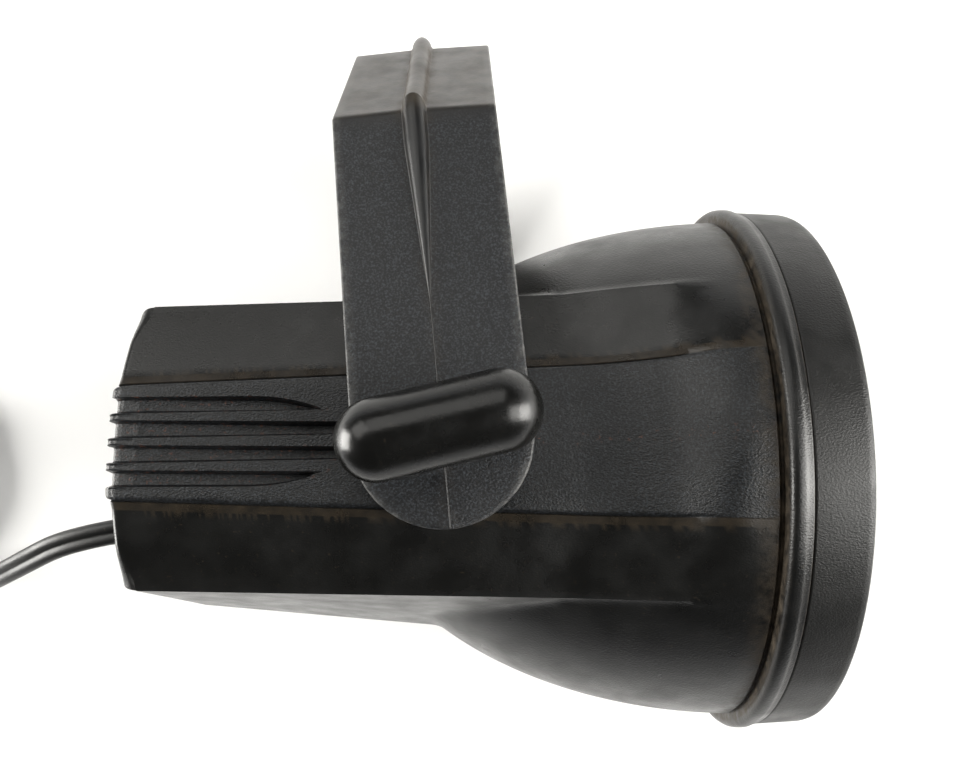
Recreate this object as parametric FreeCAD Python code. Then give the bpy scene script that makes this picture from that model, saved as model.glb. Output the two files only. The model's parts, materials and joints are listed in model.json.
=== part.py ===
import FreeCAD, Part
import math
import os

# Garden projector lamp with a U-shaped yoke, lying on its side on the ground.
# The lamp is built on its own axes: +X is the beam, +Y points to the yoke's bridge and +Z is the pivot.
# Right is +Z and left is -Z. A placement at the end lays it on its left knob, its front rim and its yoke.
# Lengths are in millimetres.

V = FreeCAD.Vector

# ---- front: bell, flange, ring and lens -------------------------------------------------------------
WALL = 2.4              # moulded wall of the two housing halves
BELL_RADIUS = 61.2      # outside of the bell at its widest
BELL_LENGTH = 94.3      # long half axis of the ellipse that the bell follows
BELL_CREST_X = 68.0     # where that ellipse is widest
BELL_START_X = -12.0    # the bell's narrow end, buried in the rear box
FLANGE_X = 65.2         # rear face of the flange behind the front ring
FLANGE_RADIUS = 64.3
RING_X = 69.8           # joint between the flange and the front ring
RING_FRONT_X = 81.9     # front rim
RING_RADIUS = 63.0      # outside of the front ring at its rim
RING_DRAFT = 0.6        # the ring is wider at its rear by this much
RIM_ROUND = 0.9
SPIGOT_LENGTH = 2.8     # the halves' spigot that the ring pushes over
SPIGOT_RADIUS = 60.6
MOUTH_RADIUS = 58.2     # clear opening of the housing
PUSH_GAP = 0.1          # radial gap between pieces of one body that push together
GASKET_THICK = 1.4
LENS_THICK = 3.0
LENS_DOME = 3.2         # how far the lens bulges forward of its rim
LIP_RADIUS = 56.6       # inside of the ring's lip, which holds the lens

# ---- rear box ---------------------------------------------------------------------------------------
REAR_X = -67.8          # rear face on the axis
REAR_SAG = 2.3          # the rear face falls back by this much at the box's edges
WAIST_X = 28.0          # the box's sides start to flare with the bell here
FLARE_X = 44.0          # half way along the flare
BLEND_X = 60.0          # and run into the bell here
FLARE_Z = 52.6          # half width over the strips half way along the flare
EDGE_PROUD = 0.4        # the side edges stand this far out of the bell there
BOX_MID_REAR = 34.6     # half height at the seam, at the rear
BOX_MID_SLOPE = 0.0925
BOX_EDGE_REAR = 29.6    # half height at the side edges, at the rear
BOX_EDGE_SLOPE = 0.024
BOX_EDGE_Z = 45.1       # half width at those edges
STRIP_REAR = 11.8       # half height of the raised strip on each side, at the rear
STRIP_SLOPE = 0.037
STRIP_Z = 49.8          # half width over the strips
STRIP_STEP = 1.0
BOX_SINK = 0.3          # the box ends this far under the bell
CORNER_ROUND = 3.2

# ---- cooling grooves in the strips ------------------------------------------------------------------
GROOVE_WIDTH = 3.5
GROOVE_PITCH = 5.1
GROOVE_REAR_DEPTH = 1.0
GROOVE_FRONT_DEPTH = 3.4
GROOVE_NOSES = (-27.0, -20.5, -20.5, -27.0)  # front ends, from the lowest groove up
GROOVE_END_X = -17.0    # the side walls are thicker behind the grooves, back from here
GROOVE_FADE = 8.0       # length over which they thin to the common wall
RIB_PROUD = 1.0         # the ribs stand out of the rear face

# ---- yoke, knobs and pivot --------------------------------------------------------------------------
YOKE_LEAN = 5.0         # degrees that the yoke leans to the rear as it lies
YOKE_THICK = 3.2
YOKE_FACE_Z = 55.07     # outer faces of the arms
ARM_END_RADIUS = 18.2
ARM_TOP_HALF = 17.5     # half width where the arm meets the bevel
BRIDGE_HALF = 16.9
BRIDGE_SHIFT = 2.6      # the bridge is set forward of the arms' centre line
BEVEL_Y = 69.8          # start of the bevel on the arm
BRIDGE_Y = 103.0        # outer face of the bridge
BRIDGE_Z = 25.0         # half length of the bridge's outer face
BEAD_RADIUS = 2.45      # stiffening bead along the bevels and the bridge
BEAD_FULL_Y = 62.0      # the bead starts to taper here, down each arm
BEAD_TAIL_Y = 28.0      # and has tapered away here
SOCKET_RADIUS = 8.0     # bore that takes the stake
SOCKET_WALL = 3.0
SOCKET_OUT = 9.0        # collar above the bridge
SOCKET_IN = 7.8         # collar below the bridge
KNOB_RADIUS = 7.75
KNOB_LENGTH = 38.5
KNOB_Z = 70.0           # height of the knob's centre line from the lamp's middle
KNOB_TURN = 13.0        # degrees from the beam's direction
KNOB_NECK_RADIUS = 6.2
FACE_GAP = 0.3          # between faces of pieces that turn on each other
BOLT_RADIUS = 3.0
BOLT_END_Z = 39.0
BOLT_HOLE_GAP = 0.3
THREAD_GAP = 0.05
NUT_FLATS = 10.0
NUT_Z = 40.4
NUT_THICK = 5.0
PIVOT_BOSS_RADIUS = 9.0
WASHER_RADIUS = 10.0

# ---- screws -----------------------------------------------------------------------------------------
CASE_SCREWS = ((-56.0, 24.0), (-16.0, 31.0), (46.0, 51.0))  # x and y, each with its mirror in y
BOSS_RADIUS = 4.4
SCREW_RADIUS = 1.3
SCREW_HEAD_RADIUS = 2.8
SCREW_HEAD = 2.0
SCREW_GAP = 0.05
HEAD_SEAT_Z = 12.0      # depth of the screw head's seat from the seam
SCREW_BITE = 11.0       # length of thread in the right half

# ---- light module -----------------------------------------------------------------------------------
LEDGE_X = 8.6           # rear face of the ledge ring in the halves
LEDGE_THICK = 2.0
LEDGE_RADIUS = 41.0
PLATE_GAP = 0.32        # between the plate's rim and the bell's wall
PLATE_THICK = 2.5
PLATE_OPENING = 32.0
PLATE_SCREW_CIRCLE = 43.2
BOARD_RADIUS = 37.0
BOARD_THICK = 1.6
MODULE_SCREW_CIRCLE = 34.5
SINK_BASE = 3.0
SINK_FIN_LENGTH = 11.0
SINK_FIN_THICK = 1.4
SINK_FIN_PITCH = 5.6
SINK_CORE_RADIUS = 21.0  # clear middle of the fins, where the motor sits
EMITTER_CIRCLE = 20.0
EMITTER_SIDE = 5.0
EMITTER_THICK = 1.7
CUP_FOOT_RADIUS = 5.4
CUP_MOUTH_RADIUS = 10.4
CUP_LENGTH = 14.0
CUP_CLEAR = 0.6         # between an emitter and the hollow of its cup
SHAFT_HOLE = 4.5        # clear holes around the spindle
BAFFLE_THICK = 1.2
BAFFLE_LENGTH = 14.0

# ---- motor and pattern disc -------------------------------------------------------------------------
BRACKET_RADIUS = 20.0
BRACKET_THICK = 2.0
GEARBOX_RADIUS = 14.0
GEARBOX_LENGTH = 9.0
MOTOR_RADIUS = 11.0
MOTOR_LENGTH = 17.0
MOTOR_SCREW_CIRCLE = 17.0
SPINDLE_RADIUS = 1.5
SPINDLE_GAP = 0.06
DISC_X = 29.5           # rear face of the pattern disc
DISC_RADIUS = 46.0
DISC_THICK = 2.4
HUB_RADIUS = 5.0
HUB_LENGTH = 8.0
CLIP_RADIUS = 3.4
CLIP_THICK = 0.8

# ---- driver -----------------------------------------------------------------------------------------
DRIVER_X = -41.6
DRIVER_THICK = 1.6
DRIVER_HALF_Y = 25.0
DRIVER_HALF_Z = 41.8
DRIVER_SLOT_GAP = 0.15
RIB_THICK = 2.0
RIB_HALF_Y = 14.0
RIB_REACH = 6.0         # how far the slot ribs hold the board's edge

# ---- cord -------------------------------------------------------------------------------------------
CORD_Y = -16.5          # the cord leaves the rear face here, on the seam
CORD_WIDTH = 6.4
CORD_THICK = 3.3
RELIEF_NECK = 5.0
RELIEF_FLANGE = 7.0
RELIEF_CLAMP = 2.5      # thickness of its flange inside the wall
RELIEF_OUT = 17.0       # length outside the rear wall
RELIEF_TIP = 4.0
COIL_X = -250.0         # middle of the coil on the ground
COIL_Y = -50.0
COIL_OUTER = 43.5
COIL_INNER = 27.5
COIL_HEIGHT = 13.4
TIE_WIDTH = 7.0
TIE_THICK = 1.2
TIE_ANGLE = 30.0        # place of the tie round the coil, in degrees
PLUG_X = -283.0
PLUG_Y = 12.0           # rear of the plug's body
PLUG_LENGTH = 27.0
PLUG_WIDTH = 22.0
PLUG_HEIGHT = 13.0
PLUG_ROUND = 3.0
PLUG_TAIL = 10.0        # tapered tail behind the plug's body
BLADE_PITCH = 12.7
BLADE_WIDTH = 6.35
BLADE_THICK = 1.5
BLADE_LENGTH = 17.0
BLADE_ROOT = 6.0        # length of each blade inside the plug
SEAL_SIDE = 1.0
LEAD_RADIUS = 1.0


# ---- small helpers ----------------------------------------------------------------------------------
def block(x0, x1, y0, y1, z0, z1):
    return Part.makeBox(x1 - x0, y1 - y0, z1 - z0, V(x0, y0, z0))


def rod(radius, start, end):
    along = V(*end) - V(*start)
    return Part.makeCylinder(radius, along.Length, V(*start), along)


def ring(outer, inner, start, end):
    return rod(outer, start, end).cut(rod(inner, start, end))


def turned(profile, centre=(0, 0, 0)):
    """Solid turned about an X-wise axis through centre, from (x, radius) points."""
    points = [V(x + centre[0], r + centre[1], centre[2]) for x, r in profile]
    face = Part.Face(Part.makePolygon(points + points[:1]))
    return face.revolve(V(*centre), V(1, 0, 0), 360)


def prism(points, push):
    """Solid swept along push from a closed flat outline."""
    corners = [V(*p) for p in points]
    return Part.Face(Part.makePolygon(corners + corners[:1])).extrude(V(*push))


def joined(shapes):
    return shapes[0].multiFuse(shapes[1:]).removeSplitter() if len(shapes) > 1 else shapes[0]


def group(shapes):
    return Part.makeCompound(shapes)


def mirrored_z(shape):
    return shape.mirror(V(0, 0, 0), V(0, 0, 1))


def around(count, radius, start_deg=0.0):
    """(y, z) places evenly spaced about the beam axis."""
    steps = [math.radians(start_deg + 360.0 * i / count) for i in range(count)]
    return [(radius * math.cos(a), radius * math.sin(a)) for a in steps]


def hexagon(flats, z, thick):
    corner = flats / math.sqrt(3)
    turn = [math.radians(60 * i) for i in range(6)]
    return prism([(corner * math.cos(a), corner * math.sin(a), z) for a in turn], (0, 0, thick))


def rounded_path(points):
    """Straight runs joined by tangent arcs, and the arcs' radii."""
    spots = [V(*p) for p in points]
    edges = []
    radii = []
    last = spots[0]
    for before, corner, after in zip(spots, spots[1:], spots[2:]):
        back = (before - corner).normalize()
        ahead = (after - corner).normalize()
        turn = math.pi - back.getAngle(ahead)
        reach = 0.45 * min((before - corner).Length, (after - corner).Length)
        radii.append(reach / math.tan(turn / 2))
        middle = (back + ahead).normalize()
        start = corner + back * reach
        end = corner + ahead * reach
        bulge = corner + middle * (radii[-1] / math.cos(turn / 2) - radii[-1])
        edges.append(Part.LineSegment(last, start).toShape())
        edges.append(Part.Arc(start, bulge, end).toShape())
        last = end
    edges.append(Part.LineSegment(last, spots[-1]).toShape())
    return Part.Wire(edges), radii


def lead(points, radius):
    """Round lead along a rounded path."""
    path = rounded_path(points)[0]
    along = V(*points[1]) - V(*points[0])
    section = Part.Wire(Part.makeCircle(radius, V(*points[0]), along))
    return path.makePipeShell([section], True, False)


# ---- housing ----------------------------------------------------------------------------------------
def bell_radius(x, inset=0.0):
    share = (x - BELL_CREST_X) / (BELL_LENGTH - inset)
    return (BELL_RADIUS - inset) * math.sqrt(1 - share * share)


def bell(inset, end_x):
    """The bell as a solid, its outside moved in by inset."""
    ellipse = Part.Ellipse(V(BELL_CREST_X, 0, 0), BELL_LENGTH - inset, BELL_RADIUS - inset)
    start_x = BELL_START_X + inset
    angles = [math.acos((x - BELL_CREST_X) / (BELL_LENGTH - inset)) for x in (end_x, start_x)]
    curve = Part.ArcOfEllipse(ellipse, angles[0], angles[1]).toShape()
    wide = V(end_x, bell_radius(end_x, inset), 0)
    narrow = V(start_x, bell_radius(start_x, inset), 0)
    rest = Part.makePolygon([narrow, V(start_x, 0, 0), V(end_x, 0, 0), wide])
    face = Part.Face(Part.Wire([curve] + rest.Edges))
    return face.revolve(V(0, 0, 0), V(1, 0, 0), 360)


def edge_half(x):
    """Half height of the box at its side edges."""
    return BOX_EDGE_REAR + BOX_EDGE_SLOPE * (x - REAR_X)


def box_section(x, inset, groove_inset):
    """Closed outline of the rear box at x, with fourteen corners."""
    mid = BOX_MID_REAR + BOX_MID_SLOPE * (x - REAR_X) - inset
    edge = edge_half(x)
    strip = STRIP_REAR + STRIP_SLOPE * (x - REAR_X)
    if x <= WAIST_X:
        edge_z, strip_z, step = BOX_EDGE_Z, STRIP_Z, STRIP_STEP
    elif x < BLEND_X:
        edge_z = math.sqrt(bell_radius(x) ** 2 - edge ** 2) + EDGE_PROUD
        strip_z, step = FLARE_Z, STRIP_STEP
    else:
        reach = bell_radius(x) - BOX_SINK
        edge_z = math.sqrt(reach ** 2 - edge ** 2)
        strip_z = reach - STRIP_STEP
        step = strip_z - math.sqrt(reach ** 2 - strip ** 2)
    edge -= inset
    edge_z -= inset
    strip_z -= inset + (groove_inset if x <= GROOVE_END_X else 0)
    half = [(mid, 0), (edge, edge_z), (strip, strip_z - step), (strip - STRIP_STEP, strip_z)]
    right = half + [(-y, z) for y, z in reversed(half)]
    left = [(y, -z) for y, z in reversed(right[1:-1])]
    corners = [V(x, y, z) for y, z in right + left]
    return Part.makePolygon(corners + corners[:1])


def rear_box(inset, groove_inset):
    """The rear box as a solid, moved in by inset, and by groove_inset more behind the grooves."""
    rear = REAR_X + inset
    stations = [rear, GROOVE_END_X, GROOVE_END_X + GROOVE_FADE, WAIST_X, FLARE_X, BLEND_X]
    if not groove_inset:
        del stations[1:3]
    shape = Part.makeLoft([box_section(x, inset, groove_inset) for x in stations], True, True)
    curve = (BOX_EDGE_REAR ** 2 + REAR_SAG ** 2) / (2 * REAR_SAG)
    cap = rod(curve, (rear + curve, 0, -2 * STRIP_Z), (rear + curve, 0, 2 * STRIP_Z))
    shape = shape.common(cap)
    if inset:
        return shape
    return shape.makeFillet(CORNER_ROUND, rear_corners(shape))


def body(inset, groove_inset=0.0):
    """Bell and rear box together: between the side edges the box's flatter sides replace the bell."""
    ends = []
    for x in (BELL_START_X - 5, BLEND_X):
        half = edge_half(x) - inset - 0.2
        low, high = -2 * STRIP_Z, 2 * STRIP_Z
        corners = [V(x, -half, low), V(x, half, low), V(x, half, high), V(x, -half, high)]
        ends.append(Part.makePolygon(corners + corners[:1]))
    sides = Part.makeLoft(ends, True, True)
    return joined([rear_box(inset, groove_inset), bell(inset, FLANGE_X).cut(sides)])


def rear_corners(shape):
    """The edges between the rear face and the box's upper and lower faces."""
    found = []
    for edge in shape.Edges:
        box = edge.BoundBox
        at_rear = box.XMax < REAR_X + 2 * REAR_SAG + 1
        if at_rear and min(abs(box.YMin), abs(box.YMax)) > BOX_EDGE_REAR - 1 and box.ZLength > STRIP_Z / 2:
            found.append(edge)
    return found


def groove_cuts():
    """The four grooves in the right strip: shallow at the rear and deepening to their front ends."""
    cuts = []
    top = STRIP_Z + 5
    for i, nose in enumerate(GROOVE_NOSES):
        y = (i - 1.5) * GROOVE_PITCH
        floor = STRIP_Z - GROOVE_FRONT_DEPTH
        outline = [(REAR_X - 5, top), (REAR_X - 5, STRIP_Z - GROOVE_REAR_DEPTH),
                   (REAR_X + 6, STRIP_Z - GROOVE_REAR_DEPTH - 0.5),
                   (nose - 5, floor), (nose, STRIP_Z - 0.2), (nose, top)]
        cuts.append(prism([(x, y - GROOVE_WIDTH / 2, z) for x, z in outline], (0, GROOVE_WIDTH, 0)))
    return cuts


def rib_ends():
    """Rounded ends of the five ribs, standing out of the rear face."""
    ends = []
    thick = GROOVE_PITCH - GROOVE_WIDTH
    for i in range(5):
        y = (i - 2) * GROOVE_PITCH
        x = REAR_X - RIB_PROUD + thick / 2
        ends.append(rod(thick / 2, (x, y, BOX_EDGE_Z - 2), (x, y, STRIP_Z)))
        ends.append(block(x, REAR_X + 2, y - thick / 2, y + thick / 2, BOX_EDGE_Z - 2, STRIP_Z))
    return ends


def housing_outside():
    flange = rod(FLANGE_RADIUS, (FLANGE_X, 0, 0), (RING_X, 0, 0))
    flange = flange.makeFillet(1.6, [e for e in flange.Edges if e.BoundBox.XMax < FLANGE_X + 0.1])
    spigot = rod(SPIGOT_RADIUS, (RING_X, 0, 0), (RING_X + SPIGOT_LENGTH, 0, 0))
    shape = joined([body(0.0), flange, spigot])
    shape = shape.multiFuse(rib_ends() + [mirrored_z(s) for s in rib_ends()])
    return shape.cut(group(groove_cuts() + [mirrored_z(s) for s in groove_cuts()]))


def housing_inside():
    mouth = rod(MOUTH_RADIUS, (FLANGE_X - 2, 0, 0), (RING_X + SPIGOT_LENGTH + 1, 0, 0))
    return joined([body(WALL, GROOVE_FRONT_DEPTH), mouth])


def case_screw_places():
    return [(x, side * y) for x, y in CASE_SCREWS for side in (-1, 1)]


def housing_fittings(outside):
    """Bosses, ledge and board slots that stand inside the halves, both sides at once."""
    pieces = [rod(BOSS_RADIUS, (x, y, -STRIP_Z), (x, y, STRIP_Z)) for x, y in case_screw_places()]
    pieces.append(ring(BELL_RADIUS, LEDGE_RADIUS, (LEDGE_X, 0, 0), (LEDGE_X + LEDGE_THICK, 0, 0)))
    for y, z in around(4, PLATE_SCREW_CIRCLE, 45):
        pieces.append(rod(BOSS_RADIUS - 1, (LEDGE_X - 5, y, z), (LEDGE_X + LEDGE_THICK, y, z)))
    for side in (-1, 1):
        pieces.append(rod(PIVOT_BOSS_RADIUS, (0, 0, side * NUT_Z), (0, 0, side * (STRIP_Z - 1))))
        inner = side * (DRIVER_HALF_Z - RIB_REACH)
        low, high = sorted((inner, side * (STRIP_Z - GROOVE_FRONT_DEPTH - 1)))
        slot = DRIVER_SLOT_GAP
        for x in (DRIVER_X - slot - RIB_THICK, DRIVER_X + DRIVER_THICK + slot):
            pieces.append(block(x, x + RIB_THICK, -RIB_HALF_Y, RIB_HALF_Y, low, high))
    return group(pieces).common(outside)


def housing_holes():
    """Everything drilled or pressed through the halves."""
    cuts = [relief(SCREW_GAP)]
    for x, y in case_screw_places():
        cuts.append(rod(SCREW_RADIUS + SCREW_GAP, (x, y, -HEAD_SEAT_Z - 1), (x, y, SCREW_BITE + 1)))
        cuts.append(rod(SCREW_HEAD_RADIUS + 0.4, (x, y, -2 * STRIP_Z), (x, y, -HEAD_SEAT_Z)))
    for y, z in around(4, PLATE_SCREW_CIRCLE, 45):
        cuts.append(rod(SCREW_RADIUS + SCREW_GAP, (LEDGE_X - 6, y, z), (LEDGE_X + LEDGE_THICK, y, z)))
    for side in (1, -1):
        hole = BOLT_RADIUS + BOLT_HOLE_GAP
        cuts.append(rod(hole, (0, 0, side * (NUT_Z - 2)), (0, 0, side * (STRIP_Z + 1))))
        pocket = hexagon(NUT_FLATS + 2 * PUSH_GAP, NUT_Z - 2, NUT_THICK + 2)
        cuts.append(pocket if side > 0 else mirrored_z(pocket))
    return cuts


def housing_halves(nodes):
    outside = housing_outside()
    shell = outside.cut(housing_inside())
    shell = shell.multiFuse(housing_fittings(outside).Solids)
    seal = seam_seal()
    shell = shell.cut(group(housing_holes() + [seal]))
    far = 2 * RING_FRONT_X
    for name, low, high in (("housing_right", 0, far), ("housing_left", -far, 0)):
        half = shell.common(block(-far, far, -far, far, low, high))
        nodes[name] = max(half.Solids, key=lambda s: s.Volume)
    nodes["seam_seal"] = seal


def seam_seal():
    """Soft strip in a groove round the seam, from the cord's gland round to the flange."""
    far = 2 * BELL_RADIUS
    slab = block(REAR_X - 5, FLANGE_X - 1, -far, far, -SEAL_SIDE / 2, SEAL_SIDE / 2)
    strip = body(WALL * 0.3).cut(body(WALL * 0.7)).common(slab)
    gate = RELIEF_FLANGE + 0.5
    return strip.cut(block(REAR_X - 5, REAR_X + 8, CORD_Y - gate, CORD_Y + gate, -far, far))


def front_ring():
    rear = RING_RADIUS + RING_DRAFT
    inner = SPIGOT_RADIUS + PUSH_GAP
    ledge = RING_X + SPIGOT_LENGTH + GASKET_THICK + LENS_THICK
    profile = [(RING_X, inner), (RING_X, rear), (RING_FRONT_X, RING_RADIUS),
               (RING_FRONT_X, LIP_RADIUS + 2), (ledge, LIP_RADIUS), (ledge, inner)]
    shape = turned(profile)
    rim = [e for e in shape.Edges if e.BoundBox.XMin > RING_FRONT_X - 0.01]
    return shape.makeFillet(RIM_ROUND, rim)


def front_lens():
    """Clear dished disc: a flat rim under the ring's lip and a low dome inside it."""
    back = RING_X + SPIGOT_LENGTH + GASKET_THICK
    front = back + LENS_THICK
    edge = SPIGOT_RADIUS - 0.3
    rim = rod(edge, (back, 0, 0), (front, 0, 0))
    dome_edge = LIP_RADIUS - 1.5
    curve = (dome_edge ** 2 + LENS_DOME ** 2) / (2 * LENS_DOME)
    centre = front + LENS_DOME - curve
    cap = Part.makeSphere(curve, V(centre, 0, 0))
    cap = cap.common(rod(dome_edge, (front - 0.5, 0, 0), (RING_FRONT_X, 0, 0)))
    hollow = Part.makeSphere(curve - LENS_THICK, V(centre, 0, 0))
    hollow = hollow.common(rod(dome_edge, (back, 0, 0), (RING_FRONT_X, 0, 0)))
    return joined([rim, cap]).cut(hollow)


def lens_gasket():
    x = RING_X + SPIGOT_LENGTH
    return ring(SPIGOT_RADIUS - 0.3, MOUTH_RADIUS, (x, 0, 0), (x + GASKET_THICK, 0, 0))


# ---- light module -----------------------------------------------------------------------------------
PLATE_X = LEDGE_X + LEDGE_THICK
PLATE_RADIUS = bell_radius(PLATE_X, WALL) - PLATE_GAP
BOARD_X = PLATE_X - BOARD_THICK
SINK_X = BOARD_X - SINK_BASE
BRACKET_X = SINK_X - BRACKET_THICK
SPINDLE_END_X = DISC_X + HUB_LENGTH


def chassis_plate():
    shape = ring(PLATE_RADIUS, PLATE_OPENING, (PLATE_X, 0, 0), (PLATE_X + PLATE_THICK, 0, 0))
    holes = []
    for y, z in around(4, PLATE_SCREW_CIRCLE, 45):
        holes.append(rod(SCREW_RADIUS + SCREW_GAP, (PLATE_X, y, z), (PLATE_X + PLATE_THICK, y, z)))
    for y, z in around(4, MODULE_SCREW_CIRCLE, 45):
        holes.append(rod(SCREW_RADIUS + SCREW_GAP, (PLATE_X, y, z), (PLATE_X + PLATE_THICK, y, z)))
    return shape.cut(group(holes))


def light_baffle():
    """Matt cone between the plate and the pattern disc, standing on the plate."""
    start = PLATE_X + PLATE_THICK
    end = start + BAFFLE_LENGTH
    narrow = PLATE_OPENING + 1
    wide = narrow + 10
    foot = 1.2
    return turned([(start, narrow), (start, narrow + 5), (start + foot, narrow + 5),
                   (start + foot, narrow + BAFFLE_THICK + 0.8), (end, wide + BAFFLE_THICK), (end, wide)])


def screw(start, end, head_at_start=True):
    """Pan-head screw from the underside of its head to its tip."""
    along = (V(*end) - V(*start)).normalize()
    base = V(*start)
    head = Part.makeCylinder(SCREW_HEAD_RADIUS, SCREW_HEAD, base - along * SCREW_HEAD, along)
    drive = Part.makeCylinder(1.0, SCREW_HEAD / 2, base - along * SCREW_HEAD, along)
    return joined([head, rod(SCREW_RADIUS, start, end)]).cut(drive)


def led_board():
    holes = [rod(SHAFT_HOLE, (BOARD_X, 0, 0), (PLATE_X, 0, 0))]
    for y, z in around(4, MODULE_SCREW_CIRCLE, 45):
        holes.append(rod(SCREW_RADIUS + SCREW_GAP, (BOARD_X, y, z), (PLATE_X, y, z)))
    return rod(BOARD_RADIUS, (BOARD_X, 0, 0), (PLATE_X, 0, 0)).cut(group(holes))


def heat_sink():
    """Round base with straight fins behind it, cleared in the middle for the motor."""
    base = rod(BOARD_RADIUS, (SINK_X, 0, 0), (BOARD_X, 0, 0))
    limit = ring(BOARD_RADIUS, SINK_CORE_RADIUS, (SINK_X - SINK_FIN_LENGTH, 0, 0), (SINK_X + 1, 0, 0))
    count = int(BOARD_RADIUS / SINK_FIN_PITCH)
    fins = []
    for i in range(-count, count + 1):
        y = i * SINK_FIN_PITCH
        half = SINK_FIN_THICK / 2
        fins.append(block(SINK_X - SINK_FIN_LENGTH, SINK_X, y - half, y + half, -BOARD_RADIUS, BOARD_RADIUS))
    shape = base.multiFuse(group(fins).common(limit).Solids).removeSplitter()
    holes = [rod(SHAFT_HOLE, (SINK_X, 0, 0), (BOARD_X, 0, 0))]
    for y, z in around(4, MODULE_SCREW_CIRCLE, 45):
        holes.append(rod(SCREW_RADIUS + SCREW_GAP, (SINK_X, y, z), (BOARD_X, y, z)))
        holes.append(rod(SCREW_HEAD_RADIUS + 0.3, (SINK_X - SINK_FIN_LENGTH - 1, y, z), (SINK_X, y, z)))
    for y, z in around(2, MOTOR_SCREW_CIRCLE, 90):
        holes.append(rod(SCREW_RADIUS + SCREW_GAP, (SINK_X, y, z), (BOARD_X, y, z)))
    return shape.cut(group(holes))


def led_emitters():
    half = EMITTER_SIDE / 2
    return group([block(PLATE_X, PLATE_X + EMITTER_THICK, y - half, y + half, z - half, z + half)
                  for y, z in around(4, EMITTER_CIRCLE)])


def collimator_cups():
    """One clear cone per emitter, hollow at its foot, standing on the board."""
    hollow = EMITTER_SIDE / math.sqrt(2) + CUP_CLEAR
    depth = EMITTER_THICK + CUP_CLEAR
    end = PLATE_X + CUP_LENGTH
    profile = [(PLATE_X, hollow), (PLATE_X, CUP_FOOT_RADIUS), (end - 2, CUP_MOUTH_RADIUS),
               (end, CUP_MOUTH_RADIUS), (end, 0), (PLATE_X + depth, 0), (PLATE_X + depth, hollow)]
    return group([turned(profile, (0, y, z)) for y, z in around(4, EMITTER_CIRCLE)])


def module_screws():
    tip = PLATE_X + PLATE_THICK - 0.3
    return group([screw((SINK_X, y, z), (tip, y, z)) for y, z in around(4, MODULE_SCREW_CIRCLE, 45)])


def plate_screws():
    seat = PLATE_X + PLATE_THICK
    return group([screw((seat, y, z), (LEDGE_X - 4, y, z)) for y, z in around(4, PLATE_SCREW_CIRCLE, 45)])


# ---- motor and pattern disc -------------------------------------------------------------------------
def motor_bracket():
    shape = rod(BRACKET_RADIUS, (BRACKET_X, 0, 0), (SINK_X, 0, 0))
    holes = [rod(SHAFT_HOLE, (BRACKET_X, 0, 0), (SINK_X, 0, 0))]
    for y, z in around(2, MOTOR_SCREW_CIRCLE, 90):
        holes.append(rod(SCREW_RADIUS + SCREW_GAP, (BRACKET_X, y, z), (SINK_X, y, z)))
    return shape.cut(group(holes))


def gear_motor():
    """Gearbox on the bracket with the motor can behind it."""
    neck = BRACKET_X - GEARBOX_LENGTH
    box = rod(GEARBOX_RADIUS, (neck, 0, 0), (BRACKET_X, 0, 0))
    can = rod(MOTOR_RADIUS, (neck - MOTOR_LENGTH, 0, 0), (neck, 0, 0))
    nose = rod(2.5, (neck - MOTOR_LENGTH - 1.5, 0, 0), (neck - MOTOR_LENGTH, 0, 0))
    bore = rod(SPINDLE_RADIUS + SPINDLE_GAP, (neck + 1, 0, 0), (BRACKET_X + 1, 0, 0))
    return joined([box, can, nose]).cut(bore)


def motor_screws():
    tip = BOARD_X - 0.3
    places = around(2, MOTOR_SCREW_CIRCLE, 90)
    return group([screw((BRACKET_X, y, z), (tip, y, z)) for y, z in places])


def disc_spindle():
    return rod(SPINDLE_RADIUS, (BRACKET_X - GEARBOX_LENGTH + 2, 0, 0), (SPINDLE_END_X, 0, 0))


def pattern_disc():
    """Clear disc with a rim and a hub that grips the spindle."""
    x = DISC_X
    plate = rod(DISC_RADIUS, (x, 0, 0), (x + DISC_THICK, 0, 0))
    hub = rod(HUB_RADIUS, (x - 3, 0, 0), (x + HUB_LENGTH - 3, 0, 0))
    rim = ring(DISC_RADIUS, DISC_RADIUS - 2, (x - 1, 0, 0), (x + DISC_THICK + 1, 0, 0))
    bore = rod(SPINDLE_RADIUS, (x - 4, 0, 0), (x + HUB_LENGTH, 0, 0))
    return joined([plate, hub, rim]).cut(bore)


def disc_clip():
    x = DISC_X + HUB_LENGTH - 3
    return ring(CLIP_RADIUS, SPINDLE_RADIUS, (x, 0, 0), (x + CLIP_THICK, 0, 0))


# ---- driver and leads -------------------------------------------------------------------------------
def driver_board():
    return block(DRIVER_X, DRIVER_X + DRIVER_THICK, -DRIVER_HALF_Y, DRIVER_HALF_Y,
                 -DRIVER_HALF_Z, DRIVER_HALF_Z)


def driver_parts():
    """Transformer, two capacitors, a coil and a terminal block on the board's rear face."""
    x = DRIVER_X
    transformer = block(x - 16, x, -6, 16, -14, 10)
    capacitors = [rod(5, (x, -12, 26), (x - 14, -12, 26)), rod(4, (x, 8, 24), (x - 12, 8, 24))]
    choke = ring(6, 2.5, (x - 6, -14, -26), (x, -14, -26))
    terminal = block(x - 9, x, -18, -8, -7, 7)
    chip = block(x + DRIVER_THICK, x + DRIVER_THICK + 1.6, -6, 6, 12, 20)
    return group([transformer] + capacitors + [choke, terminal, chip])


def supply_leads():
    """The cord's two cores from the gland to the terminal block."""
    start = REAR_X + WALL + RELIEF_CLAMP + PUSH_GAP
    end = DRIVER_X - 9
    return group([lead([(start, CORD_Y, side * 1.4), ((start + end) / 2 - 1, CORD_Y - 0.6, side * 2.2),
                        ((start + end) / 2 + 2, CORD_Y - 0.8, side * 3.4), (end, CORD_Y - 0.8, side * 3.6)],
                       LEAD_RADIUS) for side in (1, -1)])


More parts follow.
